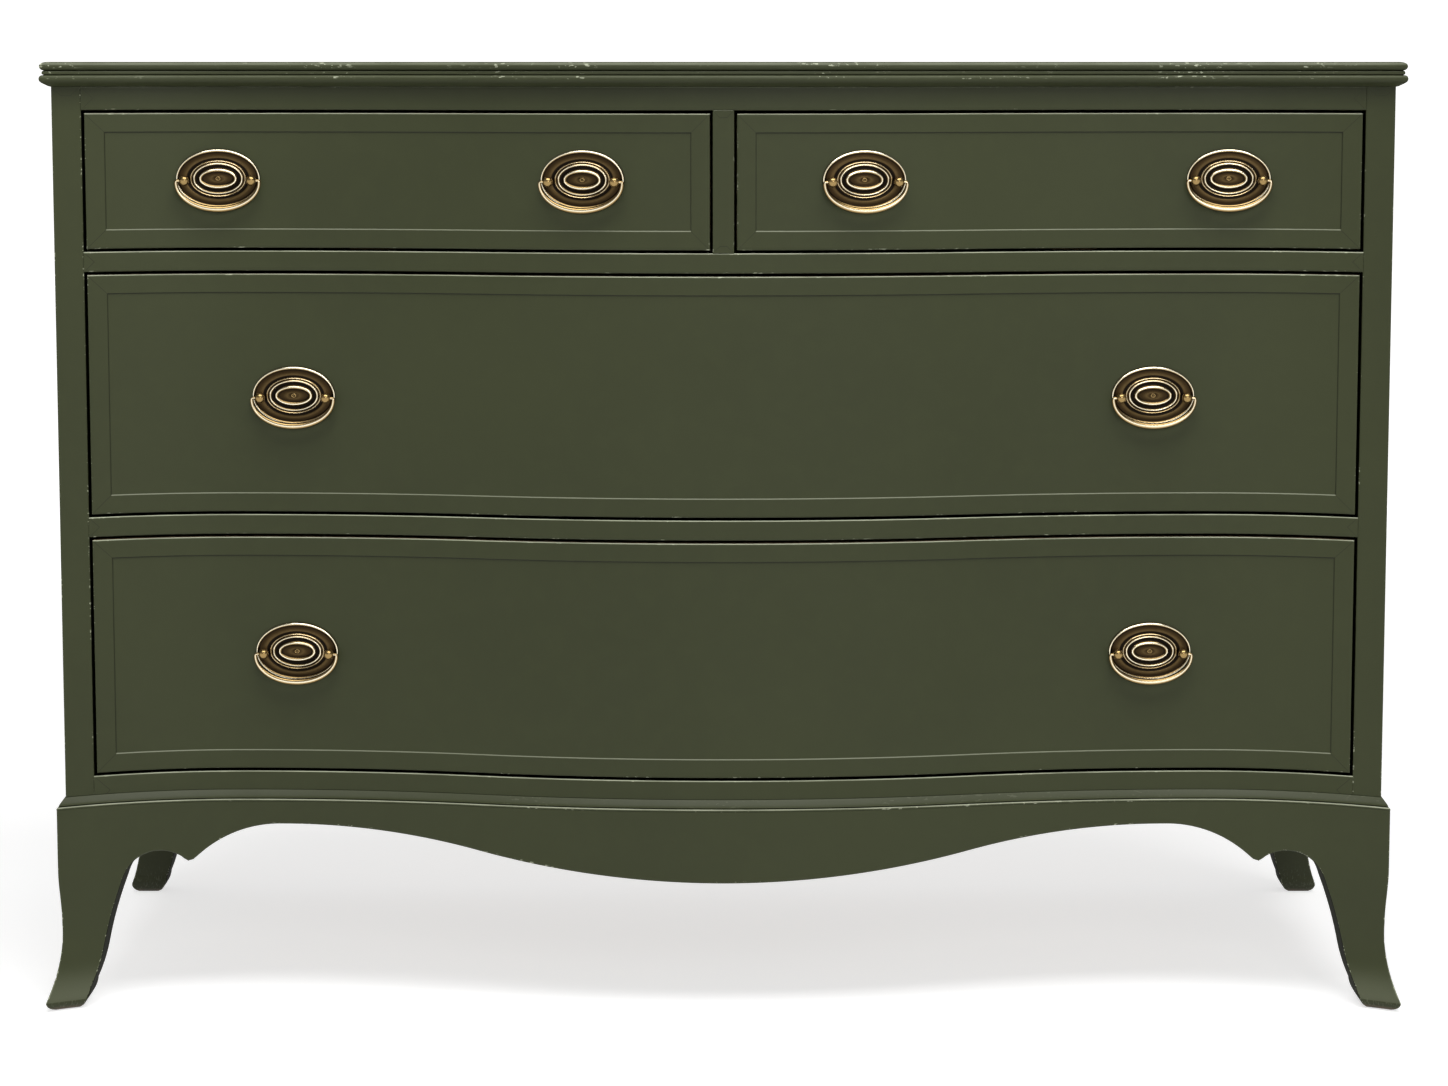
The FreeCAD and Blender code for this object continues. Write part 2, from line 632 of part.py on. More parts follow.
def drawer(name, opening, opening_z0, opening_z1, count, pulls, pull_drop=0.0):
    """One drawer: front, dovetailed sides, housed back, grooved bottom, and a pull at each given X."""
    x0, x1 = opening[0] + GAP, opening[1] - GAP
    z0, z1 = opening_z0 + GAP, opening_z1 - GAP
    low, high = opening_z0 + RUN, z1 - SIDE_DROP
    back_y = FRAME_BACK - BACK_ROOM
    under = opening_z0 + BOTTOM_UP
    floor = under + DRAWER_BOTTOM
    left = drawer_side(x0, x0 + DRAWER_SIDE, low, high, back_y, count)
    right = drawer_side(x1 - DRAWER_SIDE, x1, low, high, back_y, count)
    inset = DRAWER_SIDE - GROOVE
    bottom = box(x0 + inset, x1 - inset, FRONT_BACK - GROOVE, back_y, under, floor)
    inset = DRAWER_SIDE - HOUSING
    inner_y = back_y - DRAWER_BACK - HOUSING
    back = box(x0 + inset, x1 - inset, inner_y, back_y - HOUSING, floor, high - BACK_DROP)
    front = drawer_front(x0, x1, z0, z1).cut(Part.makeCompound([left, right, bottom]))
    inner = Part.makeCompound([bottom, back])
    plates, posts = [], []
    for side, x in zip(("left", "right"), pulls):
        plate, post_pair, wire = placed_pull(x, (z0 + z1) / 2 - pull_drop, front)
        plates.append(plate)
        posts.append(post_pair)
        save(name.replace("drawer", "bail") + "_" + side, wire)
    save(name + "_front", front.cut(Part.makeCompound(posts)).removeSplitter())
    save(name + "_side_left", left.cut(inner))
    save(name + "_side_right", right.cut(inner))
    save(name + "_back", back)
    save(name + "_bottom", bottom)
    save(name + "_pull_plates", Part.makeCompound(plates))
    save(name + "_pull_posts", Part.makeCompound(posts))


def skinned(rings):
    """Flat-faceted solid through rings of points, closed at both ends."""
    faces = [Part.Face(Part.makePolygon(ring + ring[:1])) for ring in (rings[0], rings[-1])]
    for low, high in zip(rings, rings[1:]):
        for k in range(len(low)):
            after = (k + 1) % len(low)
            faces.append(Part.Face(Part.makePolygon([low[k], low[after], high[after], high[k], low[k]])))
    return Part.Solid(Part.makeShell(faces))


def turned(points, at, along):
    """Many-sided turning about an axis, from (radius across its flats, distance) pairs."""
    rings = []
    for radius, distance in points:
        corner = radius / math.cos(math.pi / SIDES)
        ring = []
        for k in range(SIDES):
            angle = 2 * math.pi * (k + 0.5) / SIDES
            ring.append(Vector(corner * math.cos(angle), corner * math.sin(angle), distance))
        rings.append(ring)
    solid = skinned(rings)
    solid.Placement = FreeCAD.Placement(at, FreeCAD.Rotation(Vector(0, 0, 1), along))
    return solid


OUT = Vector(0, -1, 0)  # away from the drawer front


def oval(half_w, half_h, out0, out1):
    """Many-sided oval slab between two distances in front of the plate's back, with flats at its tips."""
    reach = 1 / math.cos(math.pi / OVAL_SIDES)
    corners = []
    for k in range(OVAL_SIDES + 1):
        turn = 2 * math.pi * (k + 0.5) / OVAL_SIDES
        corners.append(Vector(half_w * reach * math.cos(turn), -out0, half_h * reach * math.sin(turn)))
    return Part.Face(Part.makePolygon(corners)).extrude(OUT * (out1 - out0))


def pull_plate():
    """Oval plate with a raised rim and a raised oval in the middle."""
    body = oval(PLATE_HALF_W, PLATE_HALF_H, -PLATE_BED, RIM_OUT)
    sunk = oval(PLATE_HALF_W - RIM_WIDTH, PLATE_HALF_H - RIM_WIDTH, PLATE_FIELD, MARGIN)
    return joined([body.cut(sunk), oval(BOSS_HALF_W, BOSS_HALF_H, PLATE_FIELD, BOSS_OUT)])


def pull_post(x, length):
    """Ball-headed bolt with a nut at the given length, and an eye in the ball for the bail's pin."""
    head = [
        (POST_R, 0),
        (POST_R, BALL_OUT - 0.85 * BALL_R),
        (BALL_R, BALL_OUT - 0.4 * BALL_R),
        (BALL_R, BALL_OUT + 0.4 * BALL_R),
        (0.55 * BALL_R, BALL_OUT + BALL_R),
    ]
    shank = [(POST_R, 0), (POST_R, length), (NUT_R, length), (NUT_R, length + NUT_THICK)]
    side = math.copysign(1, x)
    eye = Vector(x + side * (BALL_R - PIN_IN - PIN_END), -BALL_OUT, 0)
    bore = turned([(PIN_R + PIN_CLEAR, 0), (PIN_R + PIN_CLEAR, BALL_R)], eye, Vector(side, 0, 0))
    at = Vector(x, 0, 0)
    return joined([turned(head, at, OUT), turned(shank, at, Vector(0, 1, 0))]).cut(bore)


def bail():
    """Half-oval handle of even wire, with a rounded tip and a pin towards the post at each end."""
    path = []
    for i in range(-1, BAIL_SEGMENTS + 2):
        angle = math.pi * (1 + i / BAIL_SEGMENTS)
        path.append(Vector(BAIL_HALF_W * math.cos(angle), -BALL_OUT, BAIL_DROP * math.sin(angle)))
    rings = []
    for before, at, after in zip(path, path[1:], path[2:]):
        ahead = after.sub(at).normalize()
        along = at.sub(before).normalize().add(ahead).normalize()
        away = along.cross(OUT) * (1 / along.dot(ahead))
        ring = []
        for k in range(SIDES):
            turn = 2 * math.pi * (k + 0.5) / SIDES
            ring.append(at.add(away * (BAIL_R * math.cos(turn))).add(OUT * (BAIL_R * math.sin(turn))))
        rings.append(ring)
    pieces = [skinned(rings)]
    for side in (-1, 1):
        top = Vector(side * BAIL_HALF_W, -BALL_OUT, 0)
        reach = BAIL_HALF_W - POST_X - BALL_R + PIN_IN
        flat, pin_flat = BAIL_R * math.cos(math.pi / SIDES), PIN_R * math.cos(math.pi / SIDES)
        tip = turned([(flat, 0), (flat * TIP_SHARE, TIP_HEIGHT)], top, Vector(0, 0, 1))
        pin = turned([(pin_flat, 0), (pin_flat, reach)], top, Vector(-side, 0, 0))
        pieces += [tip, pin]
    return joined(pieces)


def placed_pull(x, z, front):
    """Pull with its plate laid across the curve at X and bedded on the drawer front."""
    surface = -FIELD_DEEP
    left, right = x - PLATE_HALF_W, x + PLATE_HALF_W
    rise = front_y(right, surface) - front_y(left, surface)
    bridge = (front_y(right, surface) + front_y(left, surface)) / 2
    at = Vector(x, min(bridge, front_y(x, surface)), z)
    turn = math.atan2(rise, right - left)
    place = FreeCAD.Placement(at, FreeCAD.Rotation(Vector(0, 0, 1), math.degrees(turn)))
    plate, wire, posts = pull_plate(), bail(), []
    plate.translate(Vector(0, 0, PLATE_RAISE))
    for post_x in (-POST_X, POST_X):
        wood = (FRONT_BACK - at.y - post_x * math.sin(turn)) / math.cos(turn)
        posts.append(pull_post(post_x, wood - NUT_R * abs(math.tan(turn)) - NUT_SUNK))
    for shape in [plate, wire] + posts:
        shape.Placement = place.multiply(shape.Placement)
    bed = front.translated(OUT * PLATE_SEAT)
    return plate.cut(Part.makeCompound([bed] + posts)), Part.makeCompound(posts), wire


def build_case():
    panel = side_panel()
    top_rail = front_rail(TOP_UNDER, TOP_RAIL_HEIGHT, TROUGH_Y + TOP_RAIL_DEPTH)
    heights = (RAIL_HEIGHT, RAIL_HEIGHT, BOTTOM_RAIL_HEIGHT)
    rails = [front_rail(level, height, RAIL_BACK) for level, height in zip(LEVELS, heights)]
    upright = muntin()
    panels = Part.makeCompound(dust_panels())
    carriers = runners()
    in_grooves = Part.makeCompound(carriers + [panels])
    post = corner_post().cut(Part.makeCompound([panel, top_rail] + rails))
    names = ("upper_rail", "lower_rail", "bottom_rail")
    for name, rail in zip(names, rails):
        save(name, rail.cut(in_grooves).cut(upright))
    save("top_rail", top_rail.cut(upright))
    save("centre_muntin", upright)
    save("back_rails", Part.makeCompound([rail.cut(in_grooves) for rail in back_rails()]))
    save("drawer_runners", Part.makeCompound([carrier.cut(panels) for carrier in carriers] + kickers()))
    save("dust_panels", panels)
    save("glue_blocks", Part.makeCompound(glue_blocks()))
    save("top_panel", top_panel())
    save("back_panel", back_panel())
    save("corner_post_right", post)
    save("corner_post_left", mirrored(post))
    save("side_panel_right", panel)
    save("side_panel_left", mirrored(panel))


def build_base():
    save("base_moulding", base_moulding())
    save("front_apron", front_apron())
    save("back_apron", back_apron())
    apron = side_apron()
    save("side_aprons", Part.makeCompound([mirrored(apron), apron]))
    for name, front in (("front_feet", True), ("rear_feet", False)):
        foot = right_foot(front)
        save(name, Part.makeCompound([mirrored(foot), foot]))


def build_drawers():
    edge, end = MUNTIN_WIDTH / 2, OPENING_EDGE
    outer, inner, wide = OUTER_PULL_X, INNER_PULL_X, WIDE_PULL_X
    drawer("drawer_top_left", (-end, -edge), UPPER_RAIL_TOP, SMALL_TOP, 3, (-outer, -inner))
    drawer("drawer_top_right", (edge, end), UPPER_RAIL_TOP, SMALL_TOP, 3, (inner, outer))
    middle_top, bottom_top = UPPER_RAIL_TOP - RAIL_HEIGHT, LOWER_RAIL_TOP - RAIL_HEIGHT
    pulls = (-wide, wide)
    drawer("drawer_middle", (-end, end), LOWER_RAIL_TOP, middle_top, 4, pulls, MIDDLE_PULL_DROP)
    drawer("drawer_bottom", (-end, end), BOTTOM_RAIL_TOP, bottom_top, 4, pulls)


build_case()
build_base()
build_drawers()
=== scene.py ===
"""Painted serpentine chest of drawers with oval brass bail pulls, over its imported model. In metres."""

import json
import math

import bmesh
import bpy
from bpy.props import FloatProperty, FloatVectorProperty, PointerProperty
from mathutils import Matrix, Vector


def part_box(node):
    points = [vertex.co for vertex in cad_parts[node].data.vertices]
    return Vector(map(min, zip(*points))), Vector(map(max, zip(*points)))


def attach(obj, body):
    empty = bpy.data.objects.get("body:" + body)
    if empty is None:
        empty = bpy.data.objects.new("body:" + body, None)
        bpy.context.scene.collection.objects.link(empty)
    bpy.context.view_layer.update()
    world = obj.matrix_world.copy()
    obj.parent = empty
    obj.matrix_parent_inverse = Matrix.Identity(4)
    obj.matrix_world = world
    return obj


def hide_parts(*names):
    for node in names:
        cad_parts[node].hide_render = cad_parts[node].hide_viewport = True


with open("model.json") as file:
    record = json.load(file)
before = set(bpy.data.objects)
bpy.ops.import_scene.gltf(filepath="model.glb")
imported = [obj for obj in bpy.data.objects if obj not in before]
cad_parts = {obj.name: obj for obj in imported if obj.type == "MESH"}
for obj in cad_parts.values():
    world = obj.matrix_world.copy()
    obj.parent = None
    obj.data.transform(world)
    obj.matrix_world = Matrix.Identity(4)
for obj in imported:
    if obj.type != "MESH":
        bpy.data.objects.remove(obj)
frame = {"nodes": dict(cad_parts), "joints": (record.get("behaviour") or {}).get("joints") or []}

bl_info = {
    "name": "Serpentine Chest of Drawers",
    "version": (1, 0, 0),
    "blender": (4, 5, 0),
    "location": "View3D > Sidebar > Chest",
    "description": "Builds the painted chest, its brass pulls and its studio over the packed model",
    "category": "Object",
}

MM = 0.001
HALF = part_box("corner_post_right")[1].x
BACK_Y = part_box("top_panel")[1].y
SWELL_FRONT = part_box("drawer_middle_front")[0].y
RAILS = ("top_rail", "upper_rail", "lower_rail", "bottom_rail")
DRAWERS = ("drawer_top_left", "drawer_top_right", "drawer_middle", "drawer_bottom")
BOARDS = {
    "olive_paint": ("side_panel_left", "side_panel_right"),
    "timber_x": ("back_rails", "back_apron", "glue_blocks", "dust_panels"),
    "timber_y": ("drawer_runners",),
    "timber_z": ("back_panel",),
}
# Roundings and painted shade depths of the front boards, slope of the drawer field, angles over which shading
# is sharp.
JOINT_ARRIS = 0.25 * MM
RAIL_SHADE_DEPTH = 20 * MM
FRONT_SHADE_DEPTH = 12 * MM
FIELD_SLOPE = 0.7 * MM
SHARP, MOULDING_SHARP, BRASS_SHARP = math.radians(32), math.radians(30), math.radians(60)


def length(name, description, default_mm):
    default = default_mm * MM
    return FloatProperty(name=name, description=description, default=default, unit="LENGTH", precision=5)


def colour(name, description, default):
    return FloatVectorProperty(name=name, description=description, default=default, subtype="COLOR", size=3)


class FormSettings(bpy.types.PropertyGroup):
    """Sizes of the serpentine and its mouldings."""

    swell: length("Swell", "How far the middle of the front stands before the hollows", 53.0)
    hollow_x: length("Hollow", "Distance of each hollow from the middle", 442.0)
    corner_radius: length("Corner sweep", "Radius of the front's sweep towards each corner", 330.0)
    base_proud: length("Base proud", "How far the base frame stands out from the case", 6.6)
    base_thick: length("Base stock", "Thickness of the base frame", 24.0)
    leg_block: length("Leg", "Width of each leg at its top", 68.0)
    arris: length("Arris", "Rounding along the edges of drawers and rails", 1.3)
    band: length("Band", "Width of the flat band round each drawer front", 16.6)
    field_depth: length("Field depth", "How far the drawer field is sunk inside its band", 0.9)


class FinishSettings(bpy.types.PropertyGroup):
    """Colours of the finishes, with their chipped edges and their painted light and shade."""

    paint: colour("Paint", "Olive paint", (0.0432, 0.0500, 0.0200))
    # Light paint for chips and scuffs, also used for painted highlights on up-facing edges, toes and field
    # slopes.
    worn_and_lit_paint: colour("Worn paint", "Rubbed paint along the edges", (0.52, 0.55, 0.40))
    # Near black for painted shade in gaps, creases and under the top, and for the dark mitre joints of the
    # bands.
    shade_and_joint_dark: colour("Grime", "Dark wax left in gaps and creases", (0.006, 0.006, 0.004))
    bare: colour("Bare wood", "Wood that shows where paint is gone", (0.12, 0.075, 0.038))
    timber: colour("Timber", "Bare timber of the frame and drawers", (0.46, 0.30, 0.16))
    # Near-white tone for the crests: polish, and a painted highlight.
    polish_and_highlight_brass: colour("Polished brass", "Crests of the ridges", (1.0, 0.92, 0.70))
    bright_brass: colour("Bright brass", "Rubbed brass on ridges", (0.37, 0.25, 0.10))
    dark_brass: colour("Dark brass", "Tarnish in the hollows", (0.030, 0.017, 0.005))
    paint_roughness: FloatProperty(
        name="Paint roughness", description="Sheen of the paint", default=0.46, subtype="FACTOR"
    )


class StageSettings(bpy.types.PropertyGroup):
    """Camera, light and floor."""

    camera_height: length("Camera height", "Height of the camera over the floor", 859.5)
    camera_distance: length("Camera distance", "From the camera to the hollows of the front", 3543.0)
    camera_side: length("Camera side", "How far right of the middle the camera stands", 0.5)
    focal: FloatProperty(name="Focal length", description="Lens in mm on a 36 mm sensor", default=96.99)
    pitch: FloatProperty(
        name="Pitch", description="Downward tilt of the camera", default=math.radians(7.024), subtype="ANGLE"
    )
    floor_colour: colour("Floor", "Colour of the floor and backdrop", (0.62, 0.62, 0.62))
    floor_glow: FloatProperty(name="Floor glow", description="Own light of the floor", default=0.67)
    air_light: FloatProperty(name="Air light", description="Even light from all round", default=0.3)


class Value:
    """A node socket that can be written into an expression."""

    def __init__(self, shader, socket):
        self.shader = shader
        self.socket = socket

    def math(self, operation, *others):
        return self.shader.node("ShaderNodeMath", {"operation": operation}, dict(enumerate((self,) + others)))

    def __add__(self, other):
        return self.math("ADD", other)

    __radd__ = __add__

    def __mul__(self, other):
        return self.math("MULTIPLY", other)

    __rmul__ = __mul__

    def __sub__(self, other):
        return self.math("SUBTRACT", other)

    def __rsub__(self, other):
        return self * -1.0 + other

    def __pow__(self, other):
        return self.math("POWER", other)

    def least(self, other):
        return self.math("MINIMUM", other)

    def most(self, other):
        return self.math("MAXIMUM", other)

    def size(self):
        return self.math("ABSOLUTE")

    def ramp(self, low, high, to_low=0.0, to_high=1.0):
        """Smooth step between two levels."""
        values = {"Value": self, "From Min": low, "From Max": high, "To Min": to_low, "To Max": to_high}
        return self.shader.node("ShaderNodeMapRange", {"interpolation_type": "SMOOTHSTEP"}, values)


class Shader:
    """Node tree of one finish."""

    def __init__(self, name):
        self.material = bpy.data.materials.new(name)
        self.material.use_nodes = True
        self.tree = self.material.node_tree
        self.tree.nodes.clear()

    def node(self, kind, settings=None, inputs=None, output=0):
        """Add a node. Its settings are set first, then the values or links of its sockets."""
        made = self.tree.nodes.new(kind)
        for key, value in (settings or {}).items():
            setattr(made, key, value)
        for key, value in (inputs or {}).items():
            if isinstance(value, Value):
                self.tree.links.new(value.socket, made.inputs[key])
            else:
                made.inputs[key].default_value = value
        return Value(self, made.outputs[output]) if made.outputs else made

    def place(self):
        """Position on the piece as it stands in the chest at rest."""
        return self.node("ShaderNodeTexCoord", output="Object")

    def axes(self):
        position = self.place()
        return [self.node("ShaderNodeSeparateXYZ", inputs={0: position}, output=k) for k in range(3)]

    def noise(self, scale, detail=3.0, stretch=(1.0, 1.0, 1.0), roughness=0.5, distortion=0.0):
        position = self.node("ShaderNodeMapping", inputs={"Vector": self.place(), "Scale": stretch})
        values = {"Vector": position, "Scale": scale, "Detail": detail}
        values.update({"Roughness": roughness, "Distortion": distortion})
        return self.node("ShaderNodeTexNoise", inputs=values)

    def attribute(self, name):
        return self.node("ShaderNodeAttribute", {"attribute_name": name}, output="Fac")

    def mix(self, factor, a, b):
        """Colour A where the factor is 0 and B where it is 1."""
        values = {0: factor, 6: self.tone(a), 7: self.tone(b)}
        return self.node("ShaderNodeMix", {"data_type": "RGBA"}, values, output=2)

    @staticmethod
    def tone(value):
        return value if isinstance(value, Value) else (*value[:3], 1.0)

    def facing(self):
        """How far the surface faces up, from -1 to 1."""
        normal = self.node("ShaderNodeNewGeometry", output="Normal")
        return self.node("ShaderNodeSeparateXYZ", inputs={0: normal}, output=2)

    def bump(self, height, strength, distance):
        values = {"Height": height, "Strength": strength, "Distance": distance}
        return self.node("ShaderNodeBump", inputs=values)

    def finish(self, inputs, shade_share=None, shade_colour=(0.0, 0.0, 0.0)):
        """Close the material. A given share of the surface is covered by a dead matt colour, which paints
        shade.
        """
        surface = self.node("ShaderNodeBsdfPrincipled", inputs=inputs)
        if shade_share:
            matt = {"Base Color": (*shade_colour, 1.0), "Roughness": 1.0, "Specular IOR Level": 0.0}
            cover = self.node("ShaderNodeBsdfPrincipled", inputs=matt)
            surface = self.node("ShaderNodeMixShader", inputs={0: shade_share, 1: surface, 2: cover})
        self.node("ShaderNodeOutputMaterial", inputs={"Surface": surface})
        return self.material


def scaled(tone, share):
    return tuple(channel * share for channel in tone)


def paint_finish(name):
    """Satin olive paint: faint mottling, chipped and scuffed edges, painted highlights on edges that face up,
    painted shade in the gaps and creases, bare wood at the soles.
    """
    finish = bpy.context.scene.chest_finish
    shader = Shader(name)
    z = shader.axes()[2]
    up = shader.facing()
    edge = shader.attribute("edge")
    cloud = shader.noise(3.2, 4.0)
    paint = shader.mix(cloud.ramp(0.3, 0.7), scaled(finish.paint, 0.93), scaled(finish.paint, 1.07))
    paint = shader.mix(shader.noise(60.0, 3.0).ramp(0.4, 0.75, 0.0, 0.25), paint, scaled(finish.paint, 1.18))
    # Edges lightened where marked: wear, and a painted highlight on the edges that face up.
    worn_and_lit_edges = edge.ramp(0.3, 1.0) * (0.03 + 0.78 * up.ramp(0.1, 0.8))
    worn_and_lit_edges = worn_and_lit_edges * shader.noise(22.0, 3.0).ramp(0.25, 0.6, 0.6, 1.0)
    paint = shader.mix(worn_and_lit_edges, paint, finish.worn_and_lit_paint)
    low = z.ramp(0.03, 0.09, 1.0, 0.0)
    chips = (shader.noise(520.0, 2.0, (0.4, 0.4, 1.0)) + low * 0.05).ramp(0.61, 0.65)
    patches = shader.noise(13.0, 3.0).ramp(0.48, 0.60).most(low)
    paint = shader.mix(edge.ramp(0.3, 0.6) * chips * patches * 0.85, paint, finish.worn_and_lit_paint)
    scuffs = shader.noise(700.0, 3.0, (0.9, 0.9, 0.25)).ramp(0.52, 0.72) * z.ramp(0.006, 0.040, 0.16, 0.0)
    # Painted highlight on the up-facing tops of the toes.
    toe_sheen = z.ramp(0.012, 0.045, 0.12, 0.0) * up.ramp(0.05, 0.3)
    paint = shader.mix(scuffs.most(toe_sheen), paint, finish.worn_and_lit_paint)
    sole = z.ramp(0.001, 0.005, 1.0, 0.0) * shader.noise(70.0, 3.0).ramp(0.3, 0.6)
    paint = shader.mix(sole, paint, finish.bare)
    band = bpy.context.scene.chest_form.band
    inset_x, inset_z = shader.attribute("inset_x"), shader.attribute("inset_z")
    depth = inset_x.least(inset_z)
    slope = depth.ramp(band - 0.2 * MM, band) * depth.ramp(band + FIELD_SLOPE, band + MM, 1.0, 0.0)
    # Painted highlight on the up-facing lower slope of the field.
    paint = shader.mix(slope * up.ramp(0.1, 0.5) * 0.3, paint, finish.worn_and_lit_paint)
    on_band = inset_x.ramp(1.2 * MM, 1.6 * MM) * inset_x.ramp(band - 0.2 * MM, band + 0.1 * MM, 1.0, 0.0)
    mitre = (inset_x - inset_z).size().ramp(0.1 * MM, 0.5 * MM, 1.0, 0.0) * on_band
    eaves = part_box("top_panel")[0].z
    # Painted shade, darker towards the top, under the overhang of the top.
    overhang_shade = z.ramp(eaves - 26 * MM, eaves - 2 * MM, 0.0, 0.3) * z.ramp(eaves, eaves + 0.5 * MM, 1.0, 0.0)
    # Dark mitre joints, with painted shade on the down-facing upper slope of the field and under the top.
    dark = (mitre * 0.6).most(slope * up.ramp(-0.05, 0.1, 0.6, 0.0)).most(overhang_shade)
    paint = shader.mix(dark, paint, finish.shade_and_joint_dark)
    bumpy = shader.noise(420.0, 2.0) * 0.35 + shader.noise(95.0, 2.0) * 0.65
    normal = shader.bump(bumpy, 0.08, 0.0005)
    roughness = finish.paint_roughness - 0.05 + shader.noise(14.0, 3.0) * 0.1
    values = {"Base Color": paint, "Roughness": roughness, "Normal": normal, "Specular IOR Level": 0.24}
    # Painted shade, near black, in the gaps round drawers and rails, mould creases and inner foot faces.
    return shader.finish(values, shader.attribute("gap"), finish.shade_and_joint_dark)


def timber_finish(name):
    """Bare timber with its grain along the axis that ends its name."""
    finish = bpy.context.scene.chest_finish
    shader = Shader(name)
    along = "xyz".index(name[-1])
    stretch = tuple(0.06 if k == along else 1.0 for k in range(3))
    rings = shader.noise(26.0, 5.0, stretch, 0.6, 0.4)
    streaks = shader.noise(260.0, 3.0, stretch, 0.6)
    pores = shader.noise(900.0, 1.0, tuple(0.02 if k == along else 1.0 for k in range(3)))
    wood = shader.mix(rings.ramp(0.36, 0.66), scaled(finish.timber, 1.12), scaled(finish.timber, 0.66))
    wood = shader.mix(streaks.ramp(0.42, 0.7, 0.0, 0.45), wood, scaled(finish.timber, 0.5))
    wood = shader.mix(shader.noise(4.0, 3.0).ramp(0.4, 0.75, 0.0, 0.3), wood, (0.2, 0.13, 0.075))
    normal = shader.bump(streaks * 0.6 + pores * 0.4, 0.22, 0.0005)
    return shader.finish({"Base Color": wood, "Roughness": 0.58 + rings * 0.18, "Normal": normal})


def brass_finish(name):
    """Antique brass, polished bright on its ridges with a painted highlight on the crests, dark with tarnish in
    its hollows.
    """
    finish = bpy.context.scene.chest_finish
    shader = Shader(name)
    relief = shader.attribute("relief")
    cloud = shader.noise(120.0, 4.0)
    level = (relief + (cloud - 0.5) * 0.06).ramp(0.25, 0.9)
    # Crests of the ridges polished and given a painted highlight, near white.
    crest_polish_and_highlight = relief.ramp(0.82, 0.97)
    tone = shader.mix(level, finish.dark_brass, finish.bright_brass)
    spots = shader.noise(900.0, 2.0).ramp(0.58, 0.7) * (1.0 - relief).ramp(0.3, 1.0)
    tone = shader.mix(spots * 0.6, tone, scaled(finish.dark_brass, 0.5))
    # Near black in the creases: tarnish, darkened further as painted shade.
    tone = shader.mix(relief.ramp(0.05, 0.26, 0.96, 0.0), tone, scaled(finish.dark_brass, 0.1))
    tone = shader.mix(crest_polish_and_highlight, tone, finish.polish_and_highlight_brass)
    stipple = shader.attribute("stipple") * shader.noise(1500.0, 1.0)
    normal = shader.bump(stipple + shader.noise(260.0, 2.0) * 0.02, 0.3, 0.0003)
    roughness = 0.34 - level * 0.13 - crest_polish_and_highlight * 0.05 + cloud * 0.04
    metallic = 0.9 + level * 0.1
    return shader.finish({"Base Color": tone, "Metallic": metallic, "Roughness": roughness, "Normal": normal})


MAKERS = {"olive_paint": paint_finish, "antique_brass": brass_finish}
FINISHES = {}


def finish_for(name):
    """The named finish, made once. Any name but those of the makers is a timber."""
    if name not in FINISHES:
        FINISHES[name] = MAKERS.get(name, timber_finish)(name)
    return FINISHES[name]


def front_y(x, out=0.0):
    """Y of the serpentine at X, for a surface that stands out from the case front by the given offset."""
    form = bpy.context.scene.chest_form
    trough = SWELL_FRONT + form.swell
    swell_r = (form.hollow_x ** 2 + form.swell ** 2) / (4 * form.swell)
    across = abs(x)
    if across <= (swell_r + out) * form.hollow_x / 2 / swell_r:
        return SWELL_FRONT + swell_r - math.sqrt((swell_r + out) ** 2 - across ** 2)
    if across <= form.hollow_x:
        return trough - swell_r + math.sqrt((swell_r - out) ** 2 - (form.hollow_x - across) ** 2)
    sweep_r = form.corner_radius
    return trough - sweep_r + math.sqrt((sweep_r - out) ** 2 - (across - form.hollow_x) ** 2)


def circle(count):
    return [2 * math.pi * k / count for k in range(count)]


def spread(a, b, count):
    """Even steps from A to B, with both."""
    return [a + (b - a) * i / count for i in range(count + 1)]


def new_piece(name, verts, faces, marks=None, angle=SHARP):
    """Mesh object, smooth up to an angle. Marks holds a list of values for each named point attribute."""
    mesh = bpy.data.meshes.new(name)
    mesh.from_pydata([tuple(v) for v in verts], [], faces)
    for key, values in (marks or {}).items():
        mesh.attributes.new(key, "FLOAT", "POINT").data.foreach_set("value", values)
    turned = bmesh.new()
    turned.from_mesh(mesh)
    bmesh.ops.recalc_face_normals(turned, faces=turned.faces)
    turned.to_mesh(mesh)
    turned.free()
    mesh.shade_smooth()
    mesh.set_sharp_from_angle(angle=angle)
    piece = bpy.data.objects.new(name, mesh)
    bpy.context.scene.collection.objects.link(piece)
    return piece


def dress(piece, body, slot, nodes, *finishes):
    """Hand a piece its finishes and its body, and hide the nodes that it stands for. The slot is not used."""
    for name in finishes:
        piece.data.materials.append(finish_for(name))
    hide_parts(*nodes)
    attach(piece, body)


def rounding(distance, radius):
    """How far a quarter-round arris has fallen back at a distance from its edge."""
    if distance >= radius:
        return 0.0
    return radius - math.sqrt(radius ** 2 - (radius - max(distance, 0.0)) ** 2)


def with_arris(a, b, radius, middle):
    """Stations from A to B that crowd into the roundings at both ends."""
    near = [a + radius * share for share in (0.0, 0.06, 0.22, 0.5, 1.0, 1.8)]
    far = [b - radius * share for share in (1.8, 1.0, 0.5, 0.22, 0.06, 0.0)]
    inner = [x for x in middle if near[-1] < x < far[0]]
    return sorted(near + inner + far)


